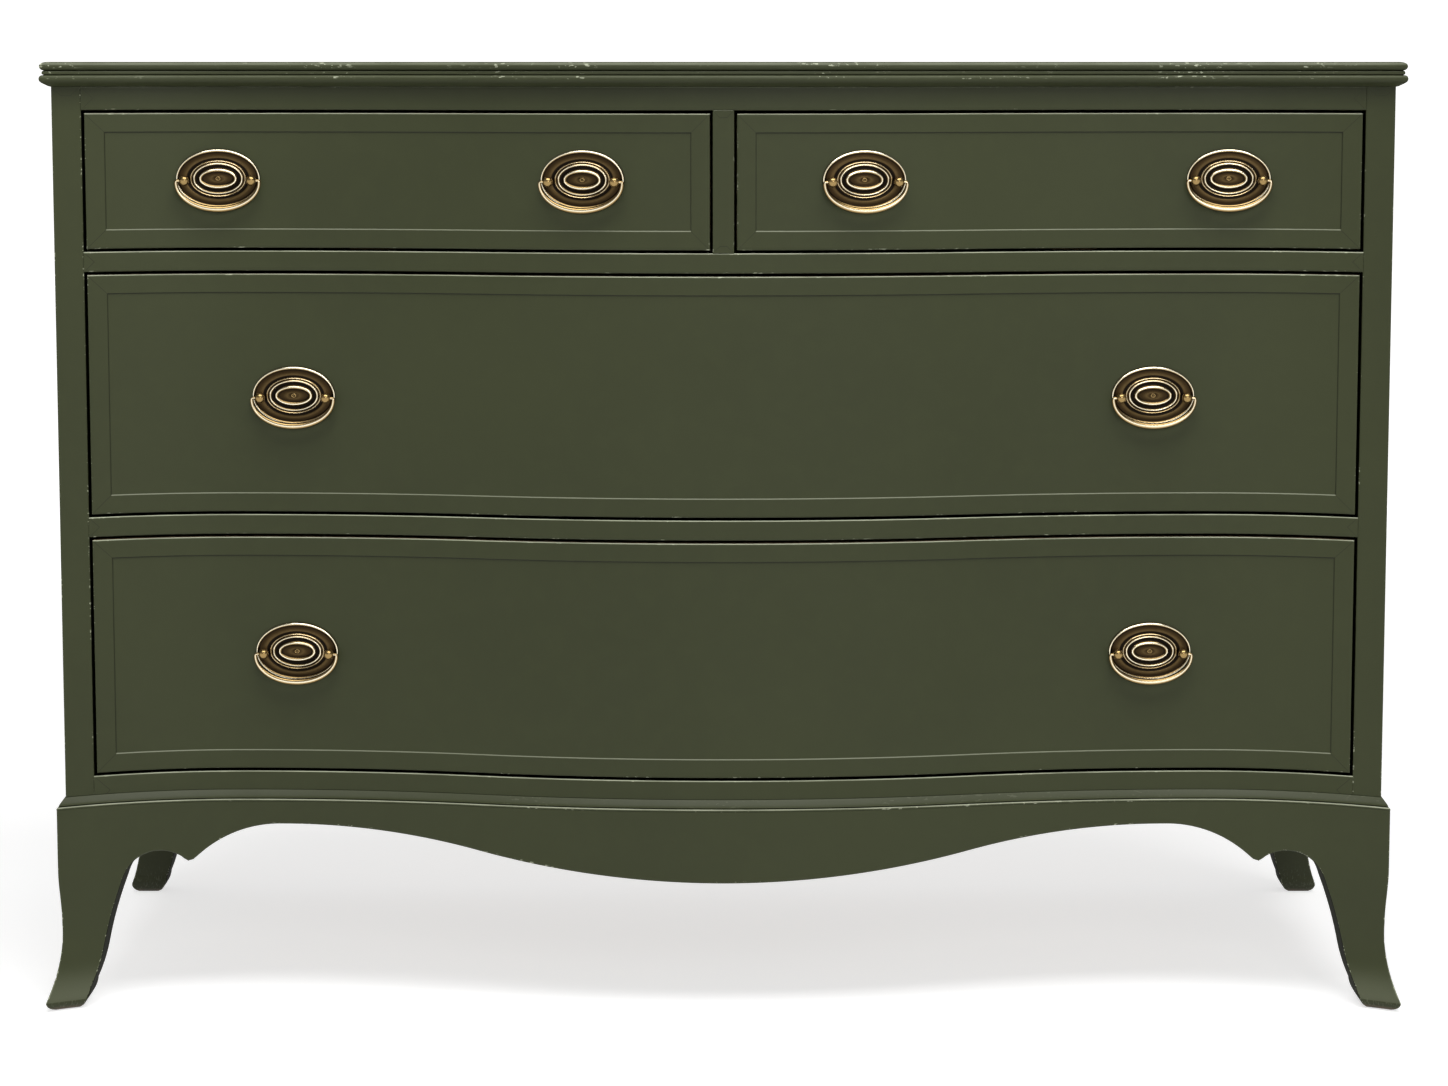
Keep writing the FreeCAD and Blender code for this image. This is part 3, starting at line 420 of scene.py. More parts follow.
def faced_board(name, xs, zs, out, wear_and_sheen, back_y, dark):
    """Board whose front is a height field on the serpentine. Its rims get painted shade down to the dark depth.
    """
    verts, faces, edge, gap, insets = [], [], [], [], []
    for z in zs:
        for x in xs:
            verts.append((x, front_y(x, out(x, z)), z))
            edge.append(wear_and_sheen(x, z))
            gap.append(0.0)
            insets.append((min(x - xs[0], xs[-1] - x), min(z - zs[0], zs[-1] - z)))
    across, rows = len(xs), len(zs)
    for j in range(rows - 1):
        for i in range(across - 1):
            k = j * across + i
            faces.append((k, k + 1, k + across + 1, k + across))
    rim = list(range(across))
    rim += [j * across + across - 1 for j in range(1, rows)]
    rim += [(rows - 1) * across + i for i in reversed(range(across - 1))]
    rim += [j * across for j in reversed(range(1, rows - 1))]
    ring = rim
    # The first rings back from the face carry painted shade, except at the ends of the case.
    for depth, shade_and_joint_dark in ((0.4 * MM, 1.0), (dark, 1.0), (dark + 2 * MM, 0.0), (None, 0.0)):
        start = len(verts)
        for k in rim:
            x, y, z = verts[k]
            verts.append((x, back_y if depth is None else min(back_y, y + depth), z))
            edge.append(0.0)
            gap.append(0.0 if abs(x) > HALF - MM else shade_and_joint_dark)
            insets.append((0.0, 0.0))
        for k in range(len(rim)):
            after = (k + 1) % len(rim)
            faces.append((ring[k], start + k, start + after, ring[after]))
        ring = [start + k for k in range(len(rim))]
    faces.append(tuple(ring))
    marks = {"edge": edge, "gap": gap, "inset_x": [a for a, b in insets], "inset_z": [b for a, b in insets]}
    return new_piece(name, verts, faces, marks)


def ring_quads(rings, count):
    """Quads that join equal rings of points, one ring after the other."""
    quads = []
    for low in range(0, (rings - 1) * count, count):
        for k in range(count):
            after = (k + 1) % count
            quads.append((low + k, low + after, low + count + after, low + count + k))
    return quads


def skin(rings):
    """Vertices and faces of a closed solid through equal rings of points, capped at both ends."""
    count = len(rings[0])
    verts = [point for ring in rings for point in ring]
    caps = [tuple(range(count)), tuple(range(len(verts) - count, len(verts)))]
    return verts, caps + ring_quads(len(rings), count)


def loops_solid(name, loops, marks=None, angle=SHARP):
    return new_piece(name, *skin(loops), marks, angle)


def arc(p, q, bulge, count):
    """Points of an arc from P to Q, without P. The bulge is its height over the chord, to the right."""
    chord = Vector(q) - Vector(p)
    side = Vector((chord.y, -chord.x)).normalized()
    half = chord.length / 2
    radius = (half ** 2 + bulge ** 2) / (2 * abs(bulge))
    middle = (Vector(p) + Vector(q)) / 2
    centre = middle + side * (bulge - math.copysign(radius, bulge))
    start = Vector(p) - centre
    sweep = 2 * math.asin(min(1.0, half / radius))
    turn = sweep if bulge > 0 else -sweep
    points = []
    for i in range(1, count + 1):
        cos, sin = math.cos(turn * i / count), math.sin(turn * i / count)
        points.append(tuple(centre + Vector((start.x * cos - start.y * sin, start.x * sin + start.y * cos))))
    return points


def prism(points, axis, low, high):
    """Solid from a flat outline between two levels along an axis. The outline gives the other two."""
    loops = [[(*point[:axis], level, *point[axis:]) for point in points] for level in (low, high)]
    return loops_solid("prism", loops)


def carve(base, tools, operation):
    """Boolean a piece with others, which stay."""
    for tool in tools:
        modifier = base.modifiers.new("cut", "BOOLEAN")
        modifier.operation = operation
        modifier.solver = "EXACT"
        modifier.object = tool
    bpy.context.view_layer.update()
    graph = bpy.context.evaluated_depsgraph_get()
    mesh = bpy.data.meshes.new_from_object(base.evaluated_get(graph), depsgraph=graph)
    base.modifiers.clear()
    base.data = mesh
    return base


def trim(base, tool, operation):
    """Boolean a piece with a helper solid, which is then removed."""
    carve(base, [tool], operation)
    bpy.data.objects.remove(tool)


# Edge of the top in millimetres: offset from the case, height over the underside.
TOP_EDGE = [
    (0.6, 0.0), (1.8, 0.4), (3.2, 1.3), (5.0, 2.4), (6.5, 3.4), (7.6, 4.5), (8.2, 5.8), (8.3, 7.1),
    (8.05, 8.3), (7.6, 9.3), (6.6, 10.0), (5.0, 10.2), (5.0, 10.6), (5.9, 10.9), (6.1, 11.6), (6.1, 12.8),
    (5.8, 13.6), (4.9, 14.0), (4.9, 14.4), (6.0, 14.7), (7.0, 15.5), (7.6, 16.6), (7.9, 18.0), (7.6, 19.3),
    (6.9, 20.4), (5.6, 21.3), (3.6, 21.85), (1.2, 22.0), (0.0, 22.0),
]
# Heights in millimetres of the top's creases, which get painted shade, and ranges of its rounds.
TOP_CREASES = (10.2, 10.6, 14.0, 14.4)
TOP_ROUNDS = ((6.0, 9.5), (11.5, 13.7), (16.0, 21.5))


def top_loop(out, z, count=96):
    """Ring round the top at one offset: along the serpentine and back along both ends."""
    edge = HALF + out
    ring = [(x, front_y(x, out), z) for x in spread(-edge, edge, count)]
    run = spread(front_y(edge, out), BACK_Y - MM, 10)[1:] + [BACK_Y]
    return ring + [(edge, y, z) for y in run] + [(-edge, y, z) for y in reversed(run)]


class CHEST_OT_top_panel(bpy.types.Operator):
    """Top with its double nosing along the front and both ends"""

    bl_idname = "chest.top_panel"
    bl_label = "Top panel"

    def execute(self, context):
        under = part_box("top_panel")[0].z
        loops = [top_loop(out * MM, under + up * MM) for out, up in TOP_EDGE]
        worn_and_lit, gap = [], []
        for (out, up), loop in zip(TOP_EDGE, loops):
            rounds = any(low < up < high for low, high in TOP_ROUNDS)
            for _, y, _ in loop:
                moulded = y < BACK_Y - MM / 2
                # Rounds are marked for chips and for a painted highlight where they face up; creases get
                # painted shade.
                worn_and_lit.append(0.55 if rounds and moulded else 0.0)
                gap.append(0.9 if up in TOP_CREASES and moulded else 0.0)
        piece = loops_solid("top_board", loops, {"edge": worn_and_lit, "gap": gap}, MOULDING_SHARP)
        dress(piece, "case", "olive_paint", ["top_panel"], "olive_paint")
        return {"FINISHED"}


class CHEST_OT_case_front(bpy.types.Operator):
    """Corner posts, rails and the muntin between the small drawers"""

    bl_idname = "chest.case_front"
    bl_label = "Posts and rails"

    def execute(self, context):
        arris = context.scene.chest_form.arris
        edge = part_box("corner_post_right")[0].x
        for node in RAILS:
            low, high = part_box(node)
            self.member(node, -edge, edge, low.z, high.z, high.y, JOINT_ARRIS, arris)
        for node in ("corner_post_left", "corner_post_right"):
            low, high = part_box(node)
            self.member(node, low.x, high.x, low.z, high.z, high.y, arris * 0.8, JOINT_ARRIS)
        low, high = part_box("centre_muntin")
        top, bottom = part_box("top_rail")[0].z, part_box("upper_rail")[1].z
        self.member("centre_muntin", low.x, high.x, bottom, top, high.y, arris * 0.6, 0.8 * JOINT_ARRIS)
        return {"FINISHED"}

    def member(self, node, x0, x1, z0, z1, back_y, end_round, level_round):
        """One stick of the front, with small roundings at its ends and along its length."""
        count = max(3, int((x1 - x0) / (12 * MM)))

        def out(x, z):
            ends = rounding(min(x - x0, x1 - x), end_round)
            levels = rounding(min(z - z0, z1 - z), level_round)
            return -max(ends, levels)

        def wear_and_sheen(x, z):
            on_end = min(x - x0, x1 - x) < end_round * 0.9
            on_level = min(z - z0, z1 - z) < level_round * 0.9
            return 1.0 if on_end or on_level else 0.0

        xs = with_arris(x0, x1, end_round, spread(x0, x1, count))
        zs = with_arris(z0, z1, level_round, spread(z0, z1, 4))
        piece = faced_board(node + "_dressed", xs, zs, out, wear_and_sheen, back_y, RAIL_SHADE_DEPTH)
        dress(piece, "case", "olive_paint", [node], "olive_paint")


class CHEST_OT_case_boards(bpy.types.Operator):
    """Finishes of the side boards, the back and the inner frame"""

    bl_idname = "chest.case_boards"
    bl_label = "Sides, back and inner frame"

    def execute(self, context):
        for finish, nodes in BOARDS.items():
            for node in nodes:
                cover(node, finish)
        return {"FINISHED"}


def cover(node, finish):
    """Give a kept node its finish."""
    mesh = frame["nodes"][node].data
    mesh.materials.clear()
    mesh.materials.append(finish_for(finish))


# Section of the base moulding in millimetres: offset from the case, height over its foot.
MOULDING_EDGE = [
    (-2.0, 0.0), (6.1, 0.0), (6.6, 0.4), (6.6, 1.4), (6.3, 1.9), (5.7, 2.2), (4.9, 2.4), (4.7, 2.8),
    (5.0, 3.3), (4.8, 4.1), (4.2, 5.2), (3.4, 6.4), (2.5, 7.7), (1.7, 8.8), (1.1, 9.6), (0.6, 10.1),
    (0.5, 10.5), (-2.0, 10.5),
]
# Heights in millimetres that get painted shade: the creases over the lip and the top, where the moulding meets
# the case.
MOULDING_CREASES = (2.4, 2.8, 10.5)


class CHEST_OT_base_moulding(bpy.types.Operator):
    """Moulding round the foot of the case"""

    bl_idname = "chest.base_moulding"
    bl_label = "Base moulding"

    def execute(self, context):
        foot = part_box("base_moulding")[0].z
        tracks = [self.track(out * MM, foot + up * MM) for out, up in MOULDING_EDGE]
        loops = [[track[k] for track in tracks] for k in range(len(tracks[0]))]
        # The lip is marked for chips and a painted highlight along its top, the body faintly.
        worn_and_lit = [1.0 if out > 5.6 and up > 0.2 else 0.35 if up > 3.0 else 0.0 for out, up in MOULDING_EDGE]
        gap = [0.9 if up in MOULDING_CREASES else 0.0 for out, up in MOULDING_EDGE]
        marks = {"edge": worn_and_lit * len(loops), "gap": gap * len(loops)}
        piece = loops_solid("foot_moulding", loops, marks, MOULDING_SHARP)
        dress(piece, "case", "olive_paint", ["base_moulding"], "olive_paint")
        return {"FINISHED"}

    def track(self, out, z):
        """Line round the case at one offset, from back to back."""
        edge = HALF + out
        corner = front_y(edge, out)
        line = [(-edge, y, z) for y in spread(BACK_Y, corner, 12)[:-1]]
        line += [(x, front_y(x, out), z) for x in spread(-edge, edge, 120)]
        line += [(edge, y, z) for y in spread(corner, BACK_Y, 12)[1:]]
        return line


# Inner line of a foot in millimetres: distance in from the end of the base, height, and the bow of
# the arc that leads there as a share of its chord.
FOOT_LINE = [
    (107.6, 133.2, -0.057), (86.6, 139.7, 0.077), (64.8, 131.2, 0.0925), (53.2, 110.5, 0.063),
    (37.6, 53.0, 0.02), (27.6, 19.0, -0.03), (23.0, 6.5, -0.07), (15.0, 0.0, -0.12),
]
CUSP_DROP = 1.6 * MM
FOOT_ARRIS = 1.2 * MM
FOOT_WELD = 0.3 * MM
# Share of painted shade on the inner faces of the feet.
FOOT_INNER_SHADE = 0.8
DEEPER_FRONT, DEEPER_REAR = 22 * MM, 6 * MM
CUT_TOP = 0.2


def foot_outline(joint, cusp, deeper=0.0):
    """Inner line of a foot and its wing, closed past the toe. A deeper leg starts to widen in the wing."""
    points = [(joint, CUT_TOP), (joint, cusp)]
    for inset, z, bow in FOOT_LINE:
        share = min(1.0, max(0.0, (100.0 - inset) / 48.0))
        target = (inset * MM + deeper * share, z * MM)
        points += arc(points[-1], target, bow * math.dist(points[-1], target), 10)
    points[-1] = (points[-1][0], -MM)
    return points + [(-50 * MM, -MM), (-50 * MM, CUT_TOP)]


def flare_outline(proud, depth):
    """Outer line of a foot as (offset, height): rounded toe, hollow sweep, waist and upright base."""
    toe, waist, undercut, bow = proud + 10.3 * MM, proud - 2.25 * MM, 9.5 * MM, 16.0 * MM
    toe_z, waist_z, base_z = 9.0 * MM, 79.0 * MM, 130.0 * MM
    points = [(-depth, -MM), (toe - undercut, -MM)]
    for share in spread(0.0, 1.0, 10):
        turn = math.pi / 2 * share
        points.append((toe - undercut * (1 - math.sin(turn)), toe_z * (1 - math.cos(turn))))
    for share in spread(0.0, 1.0, 24)[1:]:
        hollow = bow * share * (1 - share)
        points.append((toe + (waist - toe) * share - hollow, toe_z + (waist_z - toe_z) * share))
    for share in spread(0.0, 1.0, 12)[1:]:
        inward = (proud - waist) * (1 + math.cos(math.pi * share)) / 2
        points.append((proud - inward, waist_z + (base_z - waist_z) * share))
    return points + [(proud, CUT_TOP), (-depth, CUT_TOP)]


class CHEST_OT_feet(bpy.types.Operator):
    """Splayed feet with their wings"""

    bl_idname = "chest.feet"
    bl_label = "Feet"

    def execute(self, context):
        form = context.scene.chest_form
        for node, front in (("front_feet", True), ("rear_feet", False)):
            right = self.foot(form, front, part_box(node)[1].z)
            left = right.copy()
            left.data = right.data.copy()
            context.scene.collection.objects.link(left)
            mirror = bmesh.new()
            mirror.from_mesh(left.data)
            bmesh.ops.scale(mirror, vec=(-1, 1, 1), verts=mirror.verts)
            bmesh.ops.reverse_faces(mirror, faces=mirror.faces)
            mirror.to_mesh(left.data)
            mirror.free()
            for piece, side in ((right, "right"), (left, "left")):
                piece.name = node.replace("feet", "foot_") + side
                evened = piece.modifiers.new("evened", "WEIGHTED_NORMAL")
                evened.keep_sharp = True
                dress(piece, "case", "olive_paint", [node], "olive_paint")
        return {"FINISHED"}

    def foot(self, form, front, top):
        """Right foot: a leg block and its wings, cut to both outlines and both flares."""
        proud, leg, thick = form.base_proud, form.leg_block, form.base_thick
        outer, past, far = HALF + proud, HALF + 60 * MM, 0.5
        corner_y = front_y(outer, proud)
        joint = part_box("front_apron")[1].x
        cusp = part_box("side_aprons")[0].z
        reach = outer - joint
        tip, deeper = (cusp - CUSP_DROP, DEEPER_FRONT) if front else (cusp, DEEPER_REAR)
        front_view = [(outer - inset, z) for inset, z in foot_outline(reach, tip)]
        side_line = foot_outline(reach, cusp, deeper)
        flare = flare_outline(proud, 0.2)
        if front:
            leg_y, wing_y = (-0.4, corner_y + leg + deeper), (corner_y + leg / 2, corner_y + reach)
            side_view = [(corner_y + inset, z) for inset, z in side_line]
        else:
            leg_y, wing_y = (BACK_Y - leg - deeper, BACK_Y), (BACK_Y - reach, BACK_Y - leg / 2)
            side_view = [(BACK_Y - inset, z) for inset, z in side_line]
        block = self.box(outer - leg, past, *leg_y, -20 * MM, top + 20 * MM)
        trim(block, self.box(outer - thick, past + 5 * MM, *wing_y, -15 * MM, top + 15 * MM), "UNION")
        if front:
            low, high, back = -10 * MM, top + 10 * MM, proud - thick
            face = proud + 60 * MM
            section = [(face, low), (face, high), (back, high), (back, low)]
            trim(block, self.swept(section, joint - 10 * MM, past - 10 * MM), "UNION")
        trim(block, self.box(0.3, 0.8, -far, far, 0.0, top), "INTERSECT")
        trim(block, prism([(HALF + out, z) for out, z in flare], 1, -far, far), "INTERSECT")
        if front:
            trim(block, self.swept(flare, joint - 20 * MM, past + 10 * MM), "INTERSECT")
        trim(block, prism(side_view, 0, 0.4, 0.7), "INTERSECT")
        trim(block, prism(front_view, 1, -far, far), "INTERSECT")
        ends = (joint, corner_y + reach if front else BACK_Y - reach)
        return self.softened(block, ends, top)

    def box(self, x0, x1, y0, y1, low, high):
        return prism([(x0, y0), (x1, y0), (x1, y1), (x0, y1)], 2, low, high)

    def swept(self, section, x0, x1):
        """Solid with an (offset, height) section run along the serpentine between two X."""
        loops = [[(x, front_y(x, out), z) for out, z in section] for x in spread(x0, x1, 36)]
        return loops_solid("swept", loops)

    def softened(self, piece, ends, top):
        """Weld, round the arrises (marked for chips and painted highlight), paint shade on inward faces; apron
        joints stay sharp.
        """
        clean = bmesh.new()
        clean.from_mesh(piece.data)
        edge, gap = clean.faces.layers.float.new("edge"), clean.faces.layers.float.new("gap")
        bmesh.ops.remove_doubles(clean, verts=clean.verts, dist=FOOT_WELD)
        bmesh.ops.dissolve_degenerate(clean, edges=clean.edges, dist=FOOT_WELD)
        bmesh.ops.recalc_face_normals(clean, faces=clean.faces)
        arrises = []
        for line in clean.edges:
            middle = (line.verts[0].co + line.verts[1].co) / 2
            free = middle.x > ends[0] + MM and abs(middle.y - ends[1]) > MM and middle.z < top - MM
            if free and len(line.link_faces) == 2 and line.calc_face_angle() > math.radians(35):
                arrises.append(line)
        made = bmesh.ops.bevel(
            clean, geom=arrises, offset=FOOT_ARRIS, segments=3, profile=0.5, affect="EDGES",
            clamp_overlap=False,
        )
        for face in made["faces"]:
            face[edge] = 1.0
        for face in clean.faces:
            # Painted shade on the faces turned in under the chest.
            face[gap] = FOOT_INNER_SHADE if face.normal.x < -0.6 else 0.0
        clean.to_mesh(piece.data)
        clean.free()
        piece.data.shade_smooth()
        piece.data.set_sharp_from_angle(angle=SHARP)
        return piece


ARCH_FLAT = 6 * MM
FRONT_ARCH_IN, FRONT_ARCH_Z = 91 * MM, 163.2 * MM
SIDE_DROP_Z, SIDE_ARCH_Z, SIDE_ARCH_SHARE = 137 * MM, 158.5 * MM, 0.6


def scallop(across, drop, arch, cusp):
    """Height of an apron's lower edge at a distance from its middle: drop, arch and blunt cusp."""
    turn, blunt, blunt_r = 0.56, 6.0 * MM, 9.04 * MM
    angle = 2 * math.atan((arch[1] - drop) / arch[0])
    low_r, high_r = turn * arch[0] / math.sin(angle), (1 - turn) * arch[0] / math.sin(angle)
    if across <= turn * arch[0]:
        return drop + low_r - math.sqrt(low_r ** 2 - across ** 2)
    if across <= arch[0]:
        return arch[1] - high_r + math.sqrt(high_r ** 2 - (arch[0] - across) ** 2)
    start = arch[0] + ARCH_FLAT
    if across <= start:
        return arch[1]
    lip = cusp[1] + blunt_r - math.sqrt(blunt_r ** 2 - blunt ** 2)
    run, fall = cusp[0] - blunt - start, arch[1] - lip
    if across <= start + run:
        radius = (run ** 2 + fall ** 2) / (2 * fall)
        return arch[1] - radius + math.sqrt(radius ** 2 - (across - start) ** 2)
    return cusp[1] + blunt_r - math.sqrt(blunt_r ** 2 - (cusp[0] - across) ** 2)


class CHEST_OT_aprons(bpy.types.Operator):
    """Scalloped aprons of the front and ends"""

    bl_idname = "chest.aprons"
    bl_label = "Aprons"

    def execute(self, context):
        form = context.scene.chest_form
        low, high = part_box("front_apron")
        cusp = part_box("side_aprons")[0].z
        arch, tip = (high.x - FRONT_ARCH_IN, FRONT_ARCH_Z), (high.x, cusp - CUSP_DROP)
        stations = [(x, scallop(abs(x), low.z, arch, tip)) for x in spread(low.x, high.x, 220)]
        front = self.board("front_apron_board", form, high.z, stations, self.on_front)
        dress(front, "case", "olive_paint", ["front_apron"], "olive_paint")
        low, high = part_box("side_aprons")
        middle, reach = (low.y + high.y) / 2, (high.y - low.y) / 2
        arch, tip = (SIDE_ARCH_SHARE * reach, SIDE_ARCH_Z), (reach, cusp)
        stations = []
        for y in spread(low.y, high.y, 120):
            stations.append((y, scallop(abs(y - middle), SIDE_DROP_Z, arch, tip)))
        for name, side in (("left", -1), ("right", 1)):
            end = self.board("side_apron_" + name, form, high.z, stations, self.on_end(side))
            dress(end, "case", "olive_paint", ["side_aprons"], "olive_paint")
        return {"FINISHED"}

    def on_front(self, x, out, z):
        return (x, front_y(x, out), z)

    def on_end(self, side):
        """Placing of an apron's points on the left or right end."""
        def place(y, out, z):
            return (side * (HALF + out), y, z)
        return place

    def board(self, name, form, top, stations, place):
        """Apron through (station, lower edge) pairs. Place turns (station, offset, height) into a point."""
        loops, edge = [], []
        for at, z in stations:
            section = [(0.0, top), (0.0, z + 2.4 * MM), (0.0, z + 1.2 * MM), (0.35 * MM, z + 0.35 * MM)]
            section += [(1.2 * MM, z), (form.base_thick, z), (form.base_thick, top)]
            loops.append([place(at, form.base_proud - back, level) for back, level in section])
            edge += [0.0, 0.0, 0.8, 1.0, 0.8, 0.0, 0.0]
        return loops_solid(name, loops, {"edge": edge}, MOULDING_SHARP)


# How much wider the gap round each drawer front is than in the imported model: sides and bottom, sides and top.
GAP_LOW = Vector((0.7, 0.0, 0.8)) * MM
GAP_HIGH = Vector((0.7, 0.0, 1.0)) * MM
PAINT_DEPTH = 7 * MM


class CHEST_OT_drawer_fronts(bpy.types.Operator):
    """Drawer fronts with a flat band round a sunk field"""

    bl_idname = "chest.drawer_fronts"
    bl_label = "Drawer fronts"

    def execute(self, context):
        for drawer in DRAWERS:
            self.front(drawer, context.scene.chest_form)
        return {"FINISHED"}

    def front(self, drawer, form):
        node = drawer + "_front"
        low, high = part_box(node)
        low, high = low + GAP_LOW, high - GAP_HIGH

        def inside(x, z):
            return min(x - low.x, high.x - x, z - low.z, high.z - z)

        def out(x, z):
            depth = inside(x, z)
            sunk = min(1.0, max(0.0, (depth - form.band) / FIELD_SLOPE))
            return -rounding(depth, form.arris) - form.field_depth * sunk

        def wear_and_sheen(x, z):
            return 1.0 if inside(x, z) < form.arris * 0.9 else 0.0

        band = [form.band + FIELD_SLOPE * share for share in (-0.6, 0.0, 0.5, 1.0, 1.6)]
        count = int((high.x - low.x) / (10 * MM))
        xs = with_arris(low.x, high.x, form.arris, spread(low.x, high.x, count))
        zs = with_arris(low.z, high.z, form.arris, spread(low.z, high.z, 10))
        xs = self.refined(xs, [low.x + b for b in band] + [high.x - b for b in band])
        zs = self.refined(zs, [low.z + b for b in band] + [high.z - b for b in band])
        piece = faced_board(drawer + "_face", xs, zs, out, wear_and_sheen, high.y, FRONT_SHADE_DEPTH)
        box = [frame["nodes"][drawer + part] for part in ("_side_left", "_side_right", "_bottom")]
        carve(piece, box, "DIFFERENCE")
        mesh = piece.data
        mesh.materials.clear()
        dress(piece, drawer, "olive_paint", [node], "olive_paint", "timber_x")
        for face in mesh.polygons:
            face.material_index = 1 if face.center.y > front_y(face.center.x) + PAINT_DEPTH else 0
        mesh.shade_smooth()
        mesh.set_sharp_from_angle(angle=SHARP)

    def refined(self, stations, added):
        """Stations with new ones put in and close neighbours dropped."""
        kept = [s for s in stations if all(abs(s - a) > 0.4 * MM for a in added)]
        return sorted(kept + added)


class CHEST_OT_drawer_boxes(bpy.types.Operator):
    """Finishes of the drawer sides, backs and bottoms"""

    bl_idname = "chest.drawer_boxes"
    bl_label = "Drawer boxes"

    def execute(self, context):
        for drawer in DRAWERS:
            for part, grain in (("side_left", "y"), ("side_right", "y"), ("back", "x"), ("bottom", "x")):
                cover(drawer + "_" + part, "timber_" + grain)
        return {"FINISHED"}


# Rings of a plate in millimetres: half width, half height, distance out, and relief from hollow 0 to crest 1.
PLATE_RINGS = [
    (38.0, 26.6, -2.0, 0.2), (38.0, 26.6, -0.3, 0.1), (38.0, 26.6, 0.6, 0.3), (37.8, 26.4, 1.4, 0.6),
    (37.4, 25.9, 2.1, 0.95), (36.9, 25.3, 2.4, 1.0), (36.4, 24.7, 2.2, 0.8), (35.9, 24.0, 1.6, 0.3),
    (35.5, 23.5, 1.1, 0.05), (34.2, 22.4, 1.1, 0.25), (30.0, 19.8, 1.5, 0.42), (28.6, 18.8, 1.5, 0.42),
    (27.9, 18.3, 1.1, 0.12), (26.8, 17.4, 0.9, 0.05), (25.6, 16.6, 0.95, 0.12), (25.0, 16.2, 1.5, 0.5),
    (24.5, 15.8, 1.8, 0.95), (24.0, 15.4, 1.6, 0.5), (23.6, 15.1, 1.2, 0.1), (22.6, 14.2, 1.4, 0.35),
    (22.0, 13.7, 2.0, 0.9), (21.4, 13.2, 2.15, 1.0), (20.8, 12.7, 1.7, 0.5), (20.2, 12.1, 1.1, 0.05),
    (18.6, 10.5, 0.9, 0.0), (17.8, 9.7, 1.1, 0.05), (17.2, 9.0, 1.9, 0.45), (16.6, 8.4, 2.6, 0.9),
    (15.9, 7.7, 2.9, 1.0), (15.1, 6.9, 2.7, 0.7), (14.4, 6.2, 2.0, 0.3), (13.9, 5.7, 1.5, 0.08),
    (12.0, 4.5, 1.45, 0.25), (6.0, 2.9, 1.6, 0.42), (2.4, 1.9, 1.65, 0.3), (2.0, 1.7, 2.0, 0.7),
    (1.5, 1.3, 2.0, 0.7), (1.1, 1.0, 1.6, 0.1), (0.5, 0.5, 1.7, 0.5),
]
# Pull in millimetres: plate over the pin line, half width of its stipple, pin line over the wood, posts.
PLATE_UP, STIPPLED, PIVOT_OUT, POST_X = 1.7, 13.0, 8.6, 30.0


class PullFrame:
    """Place of one pull: its pivot line's middle, and the way it faces."""

    def __init__(self, drawer, side):
        self.name = drawer.replace("drawer", "bail") + "_" + side
        joint = next(j for j in frame["joints"] if j["child"] == self.name)
        self.pivot = Vector(joint["pos_m"])
        self.right = -Vector(joint["axis"])
        self.up = Vector((0, 0, 1))
        self.out = self.right.cross(self.up)

    def at(self, right, out, up):
        """Point given in millimetres from the middle of the plate's back."""
        base = self.pivot - self.out * PIVOT_OUT * MM
        return base + self.right * right * MM + self.out * out * MM + self.up * up * MM

    def oval(self, right, up, half_w, half_h, out, count):
        """Ring of points round a middle, all at one distance out."""
        return [self.at(right + half_w * math.cos(t), out, up + half_h * math.sin(t)) for t in circle(count)]


def pull_frames(drawer):
    return [PullFrame(drawer, side) for side in ("left", "right")]


def merged(name, groups):
    """One object from several (verts, faces, marks) lists."""
    verts, faces, marks = [], [], {}
    for part_verts, part_faces, part_marks in groups:
        start = len(verts)
        verts += part_verts
        faces += [tuple(start + k for k in face) for face in part_faces]
        for key, values in part_marks.items():
            marks.setdefault(key, []).extend(values)
    return new_piece(name, verts, faces, marks, BRASS_SHARP)


def ringed(rings, relief):
    """Vertices, faces and marks of a solid through rings, with one relief value for each ring."""
    verts, faces = skin(rings)
    values = [value for value in relief for _ in rings[0]]
    return verts, faces, {"relief": values, "stipple": [0.0] * len(verts)}


class CHEST_OT_pull_plates(bpy.types.Operator):
    """Pressed oval back plates of the pulls"""

    bl_idname = "chest.pull_plates"
    bl_label = "Pull plates"

    def execute(self, context):
        for drawer in DRAWERS:
            groups = []
            for pull in pull_frames(drawer):
                rings = [pull.oval(0.0, PLATE_UP, a, b, out, 96) for a, b, out, _ in PLATE_RINGS]
                verts, faces, marks = ringed(rings, [row[3] for row in PLATE_RINGS])
                centre = [1.0 if row[0] < STIPPLED else 0.0 for row in PLATE_RINGS]
                marks["stipple"] = [value for value in centre for _ in rings[0]]
                groups.append((verts, faces, marks))
            piece = merged(drawer + "_ovals", groups)
            dress(piece, drawer, "brass", [drawer + "_pull_plates"], "antique_brass")
        return {"FINISHED"}


# Rings of a post in millimetres: radius, distance out, and relief.
POST_HEAD = [
    (2.2, -20.0, 0.2), (2.2, 1.2, 0.2), (3.6, 1.4, 0.2), (3.9, 1.9, 0.2), (3.4, 2.5, 0.2), (2.4, 3.0, 0.3),
    (2.1, 3.6, 0.35), (2.3, 4.4, 0.45), (3.2, 5.0, 0.75), (4.0, 5.9, 0.75), (4.5, 7.1, 0.75),
    (4.65, 8.4, 0.75), (4.5, 9.8, 0.75), (4.0, 11.1, 0.75), (3.2, 12.1, 0.75), (2.0, 12.8, 0.75),
    (0.8, 13.1, 0.75),
]
# Nut behind the drawer front in millimetres: radius, distance behind the wood.
NUT = [(2.2, 6.0), (5.0, 3.5), (5.0, 0.1), (2.2, 0.0)]


